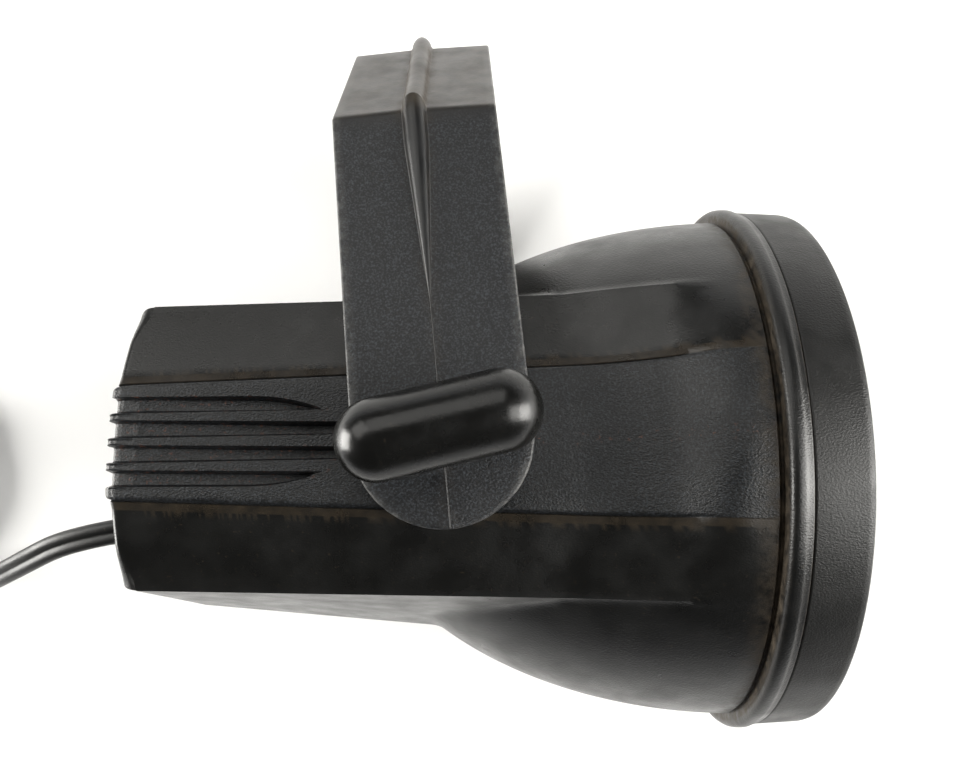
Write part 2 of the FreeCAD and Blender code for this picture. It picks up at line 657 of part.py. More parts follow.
def light_leads():
    """Two leads from the driver, past the fins and the light board's edge, to the plate."""
    start = DRIVER_X + DRIVER_THICK
    fins = SINK_X - SINK_FIN_LENGTH
    side = 14.0
    rise = math.sqrt(BOARD_RADIUS ** 2 - side ** 2) + 1.8
    return group([lead([(start, y, 20), (start + 7, y, 20), (fins - 5, y, rise), (PLATE_X, y, rise)],
                       LEAD_RADIUS) for y in (side - 1.5, side + 1.5)])


def motor_leads():
    """Two leads from the driver to the back of the motor can."""
    start = DRIVER_X + DRIVER_THICK
    end = BRACKET_X - GEARBOX_LENGTH - MOTOR_LENGTH
    routes = [[(start, y * 2.6, -9), (start + 5, y * 2.6, -9), (end - 4, y * 2, -6), (end, y * 2, -6)]
              for y in (-1, 1)]
    return group([lead(route, LEAD_RADIUS * 0.8) for route in routes])


# ---- yoke, pivot and knobs --------------------------------------------------------------------------
def yoke_side(inset):
    """Outline of the U from behind, as (y, z) points down the right arm's face, moved in by inset."""
    bevel = V(0, BRIDGE_Y - BEVEL_Y, BRIDGE_Z - YOKE_FACE_Z)
    half_turn = math.atan2(-bevel.z, bevel.y) / 2
    other = (math.pi / 2 - 2 * half_turn) / 2
    return [(BEVEL_Y - inset * math.tan(half_turn), YOKE_FACE_Z - inset),
            (BRIDGE_Y - inset, BRIDGE_Z - inset * math.tan(other))]


def yoke_outline():
    """Outline of the yoke from the side: round ends at the pivot and a bridge set forward."""
    r = ARM_END_RADIUS
    past = 5.0
    top = BRIDGE_Y + past
    stretch = 1 + past / (BRIDGE_Y - BEVEL_Y)
    end_half = ARM_TOP_HALF + (BRIDGE_HALF - ARM_TOP_HALF) * stretch
    end_shift = BRIDGE_SHIFT * stretch
    z = -2 * YOKE_FACE_Z
    tip = math.asin((ARM_END_RADIUS - ARM_TOP_HALF) / BEVEL_Y)
    foot = (r * math.cos(tip), r * math.sin(tip))
    points = [V(foot[0], foot[1], z), V(ARM_TOP_HALF, BEVEL_Y, z), V(end_shift + end_half, top, z),
              V(end_shift - end_half, top, z), V(-ARM_TOP_HALF, BEVEL_Y, z), V(-foot[0], foot[1], z)]
    arc = Part.Arc(points[-1], V(0, -r, z), points[0]).toShape()
    sides = Part.makePolygon(points)
    return Part.Face(Part.Wire(sides.Edges + [arc])).extrude(V(0, 0, 4 * YOKE_FACE_Z))


def yoke_band(inset):
    """Solid block of the U, filled, with its outside moved in by inset."""
    bevel, bridge = yoke_side(inset)
    foot = -ARM_END_RADIUS - 5
    right = [(foot, YOKE_FACE_Z - inset), bevel, bridge]
    points = right + [(y, -z) for y, z in reversed(right)]
    width = 3 * ARM_END_RADIUS
    return prism([(-width, y, z) for y, z in points], (2 * width, 0, 0))


def yoke_bead():
    """Half-round bead along the bridge and both bevels, with a tail that tapers down each arm."""
    face = YOKE_FACE_Z
    right = [(0, BEAD_FULL_Y, face), (0, BEVEL_Y, face), (BRIDGE_SHIFT, BRIDGE_Y, BRIDGE_Z)]
    corners = [V(*p) for p in right + [(x, y, -z) for x, y, z in reversed(right)]]
    section = Part.Wire(Part.makeCircle(BEAD_RADIUS, corners[0], V(0, 1, 0)))
    pieces = [Part.makePolygon(corners).makePipeShell([section], True, False, 1)]
    for start in (corners[0], corners[-1]):
        pieces.append(Part.makeCone(BEAD_RADIUS, 0.3, BEAD_FULL_Y - BEAD_TAIL_Y, start, V(0, -1, 0)))
    return joined(pieces)


def yoke():
    band = yoke_band(0.0).cut(yoke_band(YOKE_THICK)).common(yoke_outline())
    bead = yoke_bead().cut(yoke_band(YOKE_THICK / 2))
    collar = SOCKET_RADIUS + SOCKET_WALL
    low = BRIDGE_Y - YOKE_THICK - SOCKET_IN
    high = BRIDGE_Y + SOCKET_OUT
    tube = rod(collar, (BRIDGE_SHIFT, low, 0), (BRIDGE_SHIFT, high, 0))
    shape = band.multiFuse(bead.Solids + [tube])
    shape = shape.cut(rod(SOCKET_RADIUS, (BRIDGE_SHIFT, low - 1, 0), (BRIDGE_SHIFT, high + 1, 0)))
    far = YOKE_FACE_Z + 5
    shape = shape.cut(rod(BOLT_RADIUS + BOLT_HOLE_GAP, (0, 0, -far), (0, 0, far)))
    shape.rotate(V(0, 0, 0), V(0, 0, 1), YOKE_LEAN)
    return shape


def pivot_bolt():
    """Right bolt: its hexagon head is moulded into the knob."""
    shaft = rod(BOLT_RADIUS, (0, 0, BOLT_END_Z), (0, 0, KNOB_Z - 3))
    return joined([shaft, hexagon(NUT_FLATS - 1, KNOB_Z - 3, 4)])


def knob(bolt):
    """Right knob: a round-ended bar across a short neck."""
    reach = KNOB_LENGTH / 2 - KNOB_RADIUS
    pieces = [rod(KNOB_RADIUS, (-reach, 0, KNOB_Z), (reach, 0, KNOB_Z))]
    pieces += [Part.makeSphere(KNOB_RADIUS, V(side * reach, 0, KNOB_Z)) for side in (-1, 1)]
    base = YOKE_FACE_Z + FACE_GAP
    pieces.append(rod(KNOB_NECK_RADIUS, (0, 0, base), (0, 0, KNOB_Z - KNOB_RADIUS / 2)))
    shape = joined(pieces)
    shape.rotate(V(0, 0, 0), V(0, 0, 1), KNOB_TURN)
    return shape.cut(bolt)


def pivot_nut():
    shape = hexagon(NUT_FLATS, NUT_Z, NUT_THICK - PUSH_GAP)
    return shape.cut(rod(BOLT_RADIUS + THREAD_GAP, (0, 0, NUT_Z - 1), (0, 0, NUT_Z + NUT_THICK + 1)))


def friction_washer():
    top = YOKE_FACE_Z - YOKE_THICK - PUSH_GAP
    return ring(WASHER_RADIUS, BOLT_RADIUS + BOLT_HOLE_GAP, (0, 0, STRIP_Z), (0, 0, top))


def case_screws():
    return group([screw((x, y, -HEAD_SEAT_Z), (x, y, SCREW_BITE)) for x, y in case_screw_places()])


def relief(grow):
    """Tapered strain relief, clamped in the rear wall on the seam."""
    out = REAR_X - RELIEF_OUT
    inside = REAR_X + WALL
    tip = RELIEF_TIP
    clamp = inside + RELIEF_CLAMP + grow
    profile = [(clamp, 0), (clamp, RELIEF_FLANGE + grow),
               (inside - grow, RELIEF_FLANGE + grow), (inside - grow, RELIEF_NECK + grow),
               (REAR_X - 0.2, RELIEF_NECK + grow), (REAR_X - 0.2, RELIEF_NECK + 1 + grow),
               (REAR_X - 2.4, RELIEF_NECK + 0.8 + grow), (out, tip + grow), (out, 0)]
    return turned(profile, (0, CORD_Y, 0))


# ---- resting attitude -------------------------------------------------------------------------------
def contacts(up):
    """The lowest points of the left knob, the front rim and the yoke when up is the vertical."""
    turn = math.radians(KNOB_TURN)
    reach = KNOB_LENGTH / 2 - KNOB_RADIUS
    ends = [V(s * reach * math.cos(turn), s * reach * math.sin(turn), -KNOB_Z) for s in (-1, 1)]
    knob_foot = min(ends, key=lambda p: p.dot(up)) - up * KNOB_RADIUS
    outward = V(0, up.y, up.z).normalize()
    rim_foot = V(RING_FRONT_X - RIM_ROUND, 0, 0) - outward * (RING_RADIUS - RIM_ROUND) - up * RIM_ROUND
    lean = FreeCAD.Rotation(V(0, 0, 1), YOKE_LEAN)
    corners = [lean.multVec(V(s * ARM_TOP_HALF, BEVEL_Y, -YOKE_FACE_Z)) for s in (-1, 1)]
    return knob_foot, rim_foot, min(corners, key=lambda p: p.dot(up))


def resting_rotation():
    """Rotation from the lamp's axes to the ground's, and the height of the pivot over the ground."""
    up = V(0, 0, 1)
    for _ in range(40):
        a, b, c = contacts(up)
        up = (b - a).cross(c - a).normalize()
        up = up if up.z > 0 else up * -1
    beam = (V(1, 0, 0) - up * up.x).normalize()
    return FreeCAD.Rotation(beam, up.cross(beam), up, "ZXY").inverted(), -a.dot(up)


def extent(shapes):
    """Lowest and highest corners of the shapes, measured on their surfaces."""
    points = [p for s in shapes for p in s.tessellate(0.02)[0]]
    lows = [min(p[i] for p in points) for i in range(3)]
    highs = [max(p[i] for p in points) for i in range(3)]
    return lows, highs


# ---- cord, coil and plug, placed on the ground ------------------------------------------------------
CORD_ROUTE = (          # from the gland's tip down to the coil, after the first point
    (-104.5, -40.9, 96.9), (-121.0, -49.3, 92.6), (-138.0, -58.0, 84.5), (-155.0, -65.5, 71.5),
    (-170.0, -71.5, 54.0), (-184.5, -77.0, 35.5), (-201.0, -81.5, 21.0), (-220.0, -85.0, 12.4),
    (-240.0, -86.0, 10.0),
)
TAIL_ROUTE = (          # from the coil to the plug, before the last point
    (-291.2, -52.0, 4.0), (-290.7, -36.0, 4.0), (-288.4, -22.0, 4.4), (-285.0, -8.0, 5.4),
)


def flat_section(centre, along):
    """Outline of the flat cord, its wide side level, square to along."""
    side = V(0, 0, 1).cross(along).normalize()
    rise = along.cross(side).normalize()
    half = (CORD_WIDTH - CORD_THICK) / 2
    r = CORD_THICK / 2
    signs = ((1, 1), (1, -1), (-1, -1), (-1, 1))
    corners = [centre + side * (s * half) + rise * (t * r) for s, t in signs]
    tips = [centre + side * (s * (half + r)) for s in (1, -1)]
    return Part.Wire([
        Part.Arc(corners[0], tips[0], corners[1]).toShape(),
        Part.LineSegment(corners[1], corners[2]).toShape(),
        Part.Arc(corners[2], tips[1], corners[3]).toShape(),
        Part.LineSegment(corners[3], corners[0]).toShape()])


def flat_cord(name, points):
    """The flat cord swept along a route of straight runs and arcs."""
    path, radii = rounded_path(points)
    along = (V(*points[1]) - V(*points[0])).normalize()
    sweep = Part.BRepOffsetAPI.MakePipeShell(path)
    sweep.setFrenetMode(False)
    sweep.add(flat_section(V(*points[0]), along))
    sweep.build()
    sweep.makeSolid()
    shape = sweep.shape()
    section = CORD_WIDTH * CORD_THICK - (4 - math.pi) * (CORD_THICK / 2) ** 2
    print(name, "length", round(path.Length), "volume", round(shape.Volume),
          "section times length", round(section * path.Length), "arc radii", [round(r) for r in radii])
    return shape


def coil_ring(grow, low, high):
    """Round-cornered ring about the coil's middle, grown by grow."""
    shape = ring(COIL_OUTER + grow, COIL_INNER - grow, (COIL_X, COIL_Y, low), (COIL_X, COIL_Y, high))
    return shape


def cord_coil():
    shape = coil_ring(0.0, 0.0, COIL_HEIGHT)
    return shape.makeFillet(CORD_THICK / 2, shape.Edges[:])


def cord_tie():
    """Band wrapped once round the coil's turns, resting on the ground beside them."""
    middle = (COIL_OUTER + COIL_INNER) / 2
    reach = COIL_OUTER - middle + TIE_THICK
    slice_ = block(middle - reach, middle + reach, -TIE_WIDTH / 2, TIE_WIDTH / 2, 0, COIL_HEIGHT + TIE_THICK)
    slice_ = slice_.makeFillet(TIE_THICK, [e for e in slice_.Edges if e.BoundBox.YLength > TIE_WIDTH - 0.1])
    slice_.rotate(V(0, 0, 0), V(0, 0, 1), TIE_ANGLE)
    slice_.translate(V(COIL_X, COIL_Y, 0))
    return slice_.cut(coil_ring(0.1, -1, COIL_HEIGHT + 0.1))


def plug_body():
    """Two-blade plug lying flat, with a tapered tail on the cord."""
    half = PLUG_WIDTH / 2
    shape = block(PLUG_X - half, PLUG_X + half, PLUG_Y, PLUG_Y + PLUG_LENGTH, 0, PLUG_HEIGHT)
    shape = shape.makeFillet(PLUG_ROUND, [e for e in shape.Edges if e.BoundBox.YLength > PLUG_LENGTH - 1])
    start = V(PLUG_X, PLUG_Y - PLUG_TAIL, PLUG_HEIGHT / 2)
    tail = Part.makeCone(CORD_WIDTH * 0.62, PLUG_HEIGHT * 0.46, PLUG_TAIL + 1, start, V(0, 1, 0))
    return joined([shape, tail]).cut(plug_blades())


def plug_blades():
    start = PLUG_Y + PLUG_LENGTH - BLADE_ROOT
    end = PLUG_Y + PLUG_LENGTH + BLADE_LENGTH
    low = (PLUG_HEIGHT - BLADE_WIDTH) / 2
    blades = []
    for side in (-1, 1):
        left = PLUG_X + side * BLADE_PITCH / 2 - BLADE_THICK / 2
        blades.append(block(left, left + BLADE_THICK, start, end, low, low + BLADE_WIDTH))
    return group(blades)


# ---- the whole lamp ---------------------------------------------------------------------------------
def lamp_nodes():
    nodes = {}
    housing_halves(nodes)
    right_bolt = pivot_bolt()
    right_knob = knob(right_bolt)
    nodes.update({
        "front_ring": front_ring(), "front_lens": front_lens(), "lens_gasket": lens_gasket(),
        "yoke": yoke(), "knob_right": right_knob, "knob_left": mirrored_z(right_knob),
        "pivot_bolt_right": right_bolt, "pivot_bolt_left": mirrored_z(right_bolt),
        "pivot_nuts": group([pivot_nut(), mirrored_z(pivot_nut())]),
        "friction_washers": group([friction_washer(), mirrored_z(friction_washer())]),
        "housing_screws": case_screws(), "chassis_plate": chassis_plate(), "plate_screws": plate_screws(),
        "light_baffle": light_baffle(), "led_board": led_board(), "led_emitters": led_emitters(),
        "collimator_cups": collimator_cups(), "heat_sink": heat_sink(), "module_screws": module_screws(),
        "motor_bracket": motor_bracket(), "gear_motor": gear_motor(), "motor_screws": motor_screws(),
        "disc_spindle": disc_spindle(), "pattern_disc": pattern_disc(), "disc_clip": disc_clip(),
        "driver_board": driver_board(), "driver_parts": driver_parts(), "supply_leads": supply_leads(),
        "light_leads": light_leads(), "motor_leads": motor_leads(), "strain_relief": relief(0.0),
    })
    return nodes


OUTER_NODES = ("housing_right", "housing_left", "front_ring", "yoke", "knob_right", "knob_left")


def resting_placement(nodes):
    """Placement that lays the lamp down with the middle of its footprint's box at the origin."""
    rotation, height = resting_rotation()
    trial = FreeCAD.Placement(V(0, 0, height), rotation)
    low, high = extent([moved(nodes[name], trial) for name in OUTER_NODES])
    return FreeCAD.Placement(V(-(low[0] + high[0]) / 2, -(low[1] + high[1]) / 2, height - low[2]), rotation)


def moved(shape, placement):
    copy = shape.copy()
    copy.Placement = placement.multiply(copy.Placement)
    return copy


def main():
    lamp = lamp_nodes()
    placement = resting_placement(lamp)
    nodes = {name: moved(shape, placement) for name, shape in lamp.items()}
    exit_point = placement.multVec(V(REAR_X - RELIEF_OUT, CORD_Y, 0))
    coil = cord_coil()
    plug = plug_body()
    nodes["cord_coil"] = coil
    cord = flat_cord("power_cord", (tuple(exit_point),) + CORD_ROUTE)
    nodes["power_cord"] = cord.cut(group([coil, nodes["strain_relief"]]))
    tail = flat_cord("cord_tail", TAIL_ROUTE + ((PLUG_X, PLUG_Y - PLUG_TAIL, PLUG_HEIGHT / 2),))
    nodes["cord_tail"] = tail.cut(group([coil, plug]))
    nodes["cord_tie"] = cord_tie()
    nodes["plug_body"] = plug
    nodes["plug_blades"] = plug_blades()
    os.makedirs("parts", exist_ok=True)
    for name, shape in sorted(nodes.items()):
        shape.exportStep("parts/" + name + ".step")
    print(len(nodes), "nodes, exit at", [round(v, 2) for v in exit_point])


main()
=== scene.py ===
"""Builds the looks of a garden projector lamp round its packed construction model.

The lamp lies on its side. Its own axes are +X along the beam, +Y towards the bridge of the yoke and
+Z along the pivot, and sizes are in millimetres on those axes until a mesh is placed.
"""

import json
import math
from types import SimpleNamespace

import bmesh
import bpy
import numpy as np
from bpy.props import FloatProperty, FloatVectorProperty, IntProperty, PointerProperty
from mathutils import Matrix, Vector


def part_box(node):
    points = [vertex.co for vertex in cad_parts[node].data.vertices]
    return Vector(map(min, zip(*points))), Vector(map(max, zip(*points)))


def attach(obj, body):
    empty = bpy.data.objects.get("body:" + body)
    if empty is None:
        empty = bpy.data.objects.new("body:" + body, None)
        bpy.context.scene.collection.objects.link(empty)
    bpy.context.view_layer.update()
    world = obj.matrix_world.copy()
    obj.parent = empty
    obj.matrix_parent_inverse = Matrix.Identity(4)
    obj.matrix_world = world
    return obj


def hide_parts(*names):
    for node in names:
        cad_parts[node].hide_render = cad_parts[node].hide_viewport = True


bl_info = {
    "name": "Garden projector lamp",
    "version": (1, 0, 0),
    "blender": (4, 5, 0),
    "location": "3D View > Sidebar > Projector lamp",
    "description": "Builds a garden projector lamp with a yoke, knobs and a flat cord",
    "category": "Object",
}

MM = 0.001
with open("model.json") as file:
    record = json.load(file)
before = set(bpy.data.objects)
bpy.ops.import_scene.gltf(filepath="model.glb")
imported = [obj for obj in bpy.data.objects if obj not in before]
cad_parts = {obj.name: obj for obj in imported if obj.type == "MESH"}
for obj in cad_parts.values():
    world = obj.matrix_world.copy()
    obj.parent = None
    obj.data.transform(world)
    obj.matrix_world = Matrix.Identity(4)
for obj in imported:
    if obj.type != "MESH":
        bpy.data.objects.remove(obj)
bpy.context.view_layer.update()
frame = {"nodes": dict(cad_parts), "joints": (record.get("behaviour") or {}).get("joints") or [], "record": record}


# ---- the lamp's own axes ---------------------------------------------------------------------------
def joint(name):
    return next(j for j in frame["joints"] if j["name"] == name)


def lamp_axes():
    """Matrix from the lamp's axes, in metres, to the frame."""
    beam = Vector(joint("pattern_spin")["axis"])
    side = Vector(joint("yoke_tilt")["axis"])
    axes = Matrix((beam, side.cross(beam), side)).transposed().to_4x4()
    axes.translation = Vector(joint("yoke_tilt")["pos_m"])
    return axes


LAMP = lamp_axes()


def in_frame(x, y, z):
    """A point on the lamp's axes in millimetres, as a point of the frame in metres."""
    return LAMP @ (Vector((x, y, z)) * MM)


# ---- colours and properties ------------------------------------------------------------------------
def linear(hex_code):
    """An sRGB hex colour as linear red, green and blue."""
    parts = [int(hex_code[i:i + 2], 16) / 255 for i in (1, 3, 5)]
    return [c / 12.92 if c <= 0.04045 else ((c + 0.055) / 1.055) ** 2.4 for c in parts]


def length(name, description, mm):
    return FloatProperty(name=name, description=description, default=mm * MM, unit="LENGTH", precision=5)


def ratio(name, description, value):
    return FloatProperty(name=name, description=description, default=value, precision=4)


def colour(name, description, hex_code):
    return FloatVectorProperty(name=name, description=description, default=linear(hex_code),
                               subtype="COLOR", size=3, min=0.0, max=1.0)


class HousingSizes(bpy.types.PropertyGroup):
    bell: length("Bell radius", "Outside of the bell at its widest", 61.2)
    bell_length: length("Bell half length", "Long half axis of the ellipse that the bell follows", 94.3)
    bell_crest: length("Bell crest", "Where along the beam the bell is widest", 68.0)
    flange: length("Flange start", "Rear face of the flange behind the front ring", 65.2)
    flange_radius: length("Flange radius", "Outside of the flange", 64.3)
    joint: length("Ring joint", "Where the flange meets the front ring", 69.8)
    spigot: length("Spigot length", "Spigot that the ring pushes over", 2.8)
    spigot_radius: length("Spigot radius", "Outside of the spigot", 60.6)
    mouth: length("Mouth radius", "Clear opening of the housing", 58.2)
    wall: length("Wall", "Moulded wall", 2.4)
    rear: length("Rear face", "Rear face on the beam's axis", -67.8)
    rear_sag: length("Rear sag", "How far the rear face falls back at the box's edges", 2.3)
    waist: length("Waist", "Where the box's sides start to flare", 28.0)
    blend: length("Blend", "Where the box's sides have run into the bell", 60.0)
    mid: length("Half height", "Half height at the seam, at the rear", 34.6)
    mid_slope: ratio("Half height slope", "Growth of that half height along the beam", 0.0925)
    edge: length("Edge half height", "Half height at the side edges, at the rear", 29.6)
    edge_slope: ratio("Edge slope", "Growth of the edge half height along the beam", 0.024)
    edge_z: length("Edge half width", "Half width at the side edges", 45.1)
    strip: length("Strip half height", "Half height of the raised side strip, at the rear", 11.8)
    strip_slope: ratio("Strip slope", "Growth of the strip half height along the beam", 0.037)
    strip_z: length("Strip half width", "Half width over the strips", 49.8)
    step: length("Strip step", "How far the strip stands out of the side panel", 1.0)
    rib_pitch: length("Rib pitch", "Distance between the ribs of the cooling field", 5.1)
    field_half: length("Field half height", "Half height of the grooved field", 9.25)
    nose: length("Field nose", "Front tip of the grooved field", -19.0)
    nose_length: length("Nose length", "Length over which the field closes to its tip", 20.5)
    groove_rear: length("Rear groove depth", "Depth of the grooves at the rear", 0.95)
    groove_front: length("Front groove depth", "Depth of the grooves near their front ends", 3.2)
    rib_proud: length("Rib end", "How far the ribs stand out of the rear face", 1.0)


class RingSizes(bpy.types.PropertyGroup):
    rim: length("Rim radius", "Outside of the front ring at its rim", 63.0)
    draft: length("Draft", "How much wider the ring is at its rear", 0.6)
    front: length("Front", "Front face of the ring", 81.9)
    lip: length("Lip radius", "Inside of the lip that holds the lens", 56.6)
    lens_rear: length("Lens seat", "Rear face of the lens", 74.0)
    lens_thick: length("Lens thickness", "Thickness of the lens", 3.0)
    lens_radius: length("Lens radius", "Outside of the lens", 60.3)
    dome: length("Dome", "How far the lens bulges forward of its rim", 3.2)


class YokeSizes(bpy.types.PropertyGroup):
    face: length("Arm face", "Outer face of each arm from the lamp's middle", 55.07)
    thick: length("Thickness", "Thickness of the band", 3.2)
    lean: ratio("Lean", "Degrees that the yoke leans to the rear", 5.0)
    end: length("End radius", "Radius of each arm's round end", 18.2)
    top_half: length("Half width", "Half width where the arm meets the bevel", 17.5)
    bridge_half: length("Bridge half width", "Half width at the bridge", 16.9)
    bridge_shift: length("Bridge shift", "How far the bridge is set forward", 2.6)
    bevel_y: length("Bevel start", "Height at which the bevel starts", 69.8)
    bridge_y: length("Bridge height", "Outer face of the bridge", 103.0)
    bridge_z: length("Bridge half length", "Half length of the bridge's outer face", 25.0)
    bead: length("Bead radius", "Radius of the stiffening bead", 2.45)
    bead_full: length("Bead full", "Height down to which the bead is full", 62.0)
    bead_tail: length("Bead tail", "Height at which the bead has tapered away", 28.0)
    crown: length("Crown", "How far each arm's middle stands above its edges", 0.35)
    bore: length("Socket bore", "Radius of the stake's socket", 8.0)
    collar: length("Collar radius", "Outside of the socket's collar", 11.0)
    collar_low: length("Collar foot", "Inner end of the socket's collar", 92.0)
    collar_high: length("Collar mouth", "Outer end of the socket's collar", 112.0)


class KnobSizes(bpy.types.PropertyGroup):
    radius: length("Radius", "Radius of the knob's bar", 7.75)
    bar: length("Length", "Length of the knob's bar", 38.5)
    height: length("Height", "Height of the bar's centre line from the lamp's middle", 70.0)
    turn: ratio("Turn", "Degrees between the bar and the beam", 13.0)
    neck: length("Neck radius", "Radius of the neck under the bar", 6.2)
    foot: length("Foot", "Inner end of the neck from the lamp's middle", 55.37)


class CordSizes(bpy.types.PropertyGroup):
    width: length("Width", "Width of the flat two-core cord", 6.4)
    thick: length("Thickness", "Thickness of the flat cord", 3.3)
    groove: length("Groove", "Depth of the groove between the two cores", 0.5)
    total: length("Length", "Whole length of the cord", 1800.0)
    leave_y: length("Gland height", "Height at which the cord leaves the rear face", -16.5)
    relief: length("Relief length", "Length of the strain relief outside the wall", 17.0)
    coil_x: length("Coil X", "Middle of the coil on the floor", -250.0)
    coil_y: length("Coil Y", "Middle of the coil on the floor", -50.0)
    coil_outer: length("Coil outside", "Outer radius of the coil", 43.5)
    coil_inner: length("Coil inside", "Inner radius of the coil", 27.5)
    coil_height: length("Coil height", "Height of the coil", 13.4)
    turns: IntProperty(name="Turns", description="Turns of the coil", default=7)
    tie: ratio("Tie place", "Angle of the tie round the coil, in degrees", 30.0)


class Finishes(bpy.types.PropertyGroup):
    shell: colour("Shell", "Moulded shell plastic", "#0b0b0a")
    grain: colour("Grained shell", "Grained strips of the shell", "#0a0b0c")
    yoke: colour("Yoke", "Glass-filled yoke plastic", "#0b0c0e")
    knob: colour("Knob", "Knob plastic", "#090908")
    ring: colour("Ring", "Front ring plastic", "#0d0d0c")
    cord: colour("Cord", "Cord jacket", "#0c0c0b")
    dust: colour("Dust", "Garden dust in corners", "#5b4f3f")
    worn: colour("Worn edge", "Rubbed edges", "#8c8b88")


class StageSizes(bpy.types.PropertyGroup):
    lens_mm: ratio("Focal length", "Camera focal length in millimetres", 32.095)
    right_low: ratio("Low right light", "Power of the low soft light on the right, in watts", 13.0)
    right_high: ratio("High right light", "Power of the raised light on the right, in watts", 5.5)
    left_low: ratio("Low left light", "Power of the low soft light on the left, in watts", 16.0)
    back_left: ratio("Back left light", "Power of the raised light behind on the left, in watts", 2.4)
    back: ratio("Back light", "Power of the light beyond the bridge, in watts", 1.5)
    sky: ratio("Sky", "Strength of the surrounding light", 1.0)


PROPERTY_GROUPS = {
    "projector_housing": HousingSizes, "projector_ring": RingSizes, "projector_yoke": YokeSizes,
    "projector_knob": KnobSizes, "projector_cord": CordSizes, "projector_finish": Finishes,
    "projector_stage": StageSizes,
}


def sizes(name):
    """A property group's lengths in millimetres and its other values as they are."""
    group = getattr(bpy.context.scene, name)
    found = {}
    for key in PROPERTY_GROUPS[name].__annotations__:
        value = getattr(group, key)
        is_length = group.bl_rna.properties[key].unit == "LENGTH"
        found[key] = value / MM if is_length else value
    return SimpleNamespace(**found)


# ---- shader nodes ----------------------------------------------------------------------------------
# A Mix node set to RGBA takes its share at input 0 and its colours at 6 and 7, and gives output 2.
def put(tree, kind, inputs=None, **settings):
    """Adds a node: a socket among the inputs is linked, and anything else is set as a value."""
    node = tree.nodes.new(kind)
    for key, value in settings.items():
        setattr(node, key, value)
    for key, value in (inputs or {}).items():
        if isinstance(value, bpy.types.NodeSocket):
            tree.links.new(value, node.inputs[key])
        else:
            node.inputs[key].default_value = value
    return node


def new_material(name):
    """An empty material and its node tree."""
    material = bpy.data.materials.new(name)
    material.use_nodes = True
    material.node_tree.nodes.clear()
    return material, material.node_tree


def rgba(rgb, share=1.0):
    """A colour as four values, darkened or lightened by a share."""
    return (*(c * share for c in rgb), 1.0)


# ---- meshes ----------------------------------------------------------------------------------------
FLOOR = Matrix.Identity(4)      # for pieces whose points are already on the frame's axes
MERGE = 0.002 * MM              # points nearer than this are one point
TOO_SHORT = 0.0005 * MM         # and edges shorter than this are dissolved
PLAIN_SHARP = 38.0              # degrees from which an edge stays hard, where a piece states nothing else


def shaped(name, points, faces, place=LAMP, sharp=PLAIN_SHARP, marks=None):
    """A mesh object from points in millimetres, smooth but for edges sharper than an angle."""
    mesh = bpy.data.meshes.new(name)
    turn = np.array(place.to_3x3())
    spots = np.asarray(points, float) * MM @ turn.T + np.array(place.translation)
    mesh.from_pydata(spots.tolist(), [], [tuple(f) for f in faces])
    for mark, values in (marks or {}).items():
        mesh.attributes.new(mark, "FLOAT", "POINT").data.foreach_set("value", np.asarray(values, np.float32))
    made = bmesh.new()
    made.from_mesh(mesh)
    bmesh.ops.remove_doubles(made, verts=made.verts, dist=MERGE)
    bmesh.ops.dissolve_degenerate(made, edges=made.edges, dist=TOO_SHORT)
    bmesh.ops.recalc_face_normals(made, faces=made.faces)
    smooth(made, sharp)
    made.to_mesh(mesh)
    made.free()
    thing = bpy.data.objects.new(name, mesh)
    bpy.context.scene.collection.objects.link(thing)
    return thing


def smooth(made, sharp):
    """Smooth faces, with the edges sharper than that many degrees kept hard."""
    limit = math.radians(sharp)
    for face in made.faces:
        face.smooth = True
    for edge in made.edges:
        edge.smooth = len(edge.link_faces) == 2 and edge.calc_face_angle(0.0) < limit


def grid_faces(rows, columns, first=0, closed=False):
    """Quads of a grid of points stored row by row; a closed grid joins its last column to its first."""
    faces = []
    for i in range(rows - 1):
        for j in range(columns if closed else columns - 1):
            k = (j + 1) % columns
            a, b = first + i * columns, first + (i + 1) * columns
            faces.append((a + j, a + k, b + k, b + j))
    return faces


def capped_faces(rows, columns):
    """Quads of a closed tube of rows of points, and one face over each of its ends."""
    last = (rows - 1) * columns
    ends = [tuple(range(columns)), tuple(range(last, last + columns))]
    return grid_faces(rows, columns, closed=True) + ends


def circle(count):
    """The cosine and sine of each of that many equal steps round a circle."""
    return [(math.cos(2 * math.pi * j / count), math.sin(2 * math.pi * j / count)) for j in range(count)]


def rounded(points, radius):
    """An outline of (x, y) points with its corners rounded.

    A corner may state its own radius as (x, y, r).
    """
    found = []
    count = len(points)
    for i, point in enumerate(points):
        corner = np.array(point[:2], float)
        back = np.array(points[i - 1][:2], float) - corner
        ahead = np.array(points[(i + 1) % count][:2], float) - corner
        size = point[2] if len(point) > 2 else radius
        long_back, long_ahead = np.linalg.norm(back), np.linalg.norm(ahead)
        cut = min(size, 0.45 * long_back, 0.45 * long_ahead)
        if cut <= 0:
            found.append(tuple(corner))
            continue
        start, end = corner + back / long_back * cut, corner + ahead / long_ahead * cut
        for t in np.linspace(0, 1, 5):
            found.append(tuple((1 - t) ** 2 * start + 2 * t * (1 - t) * corner + t * t * end))
    return found


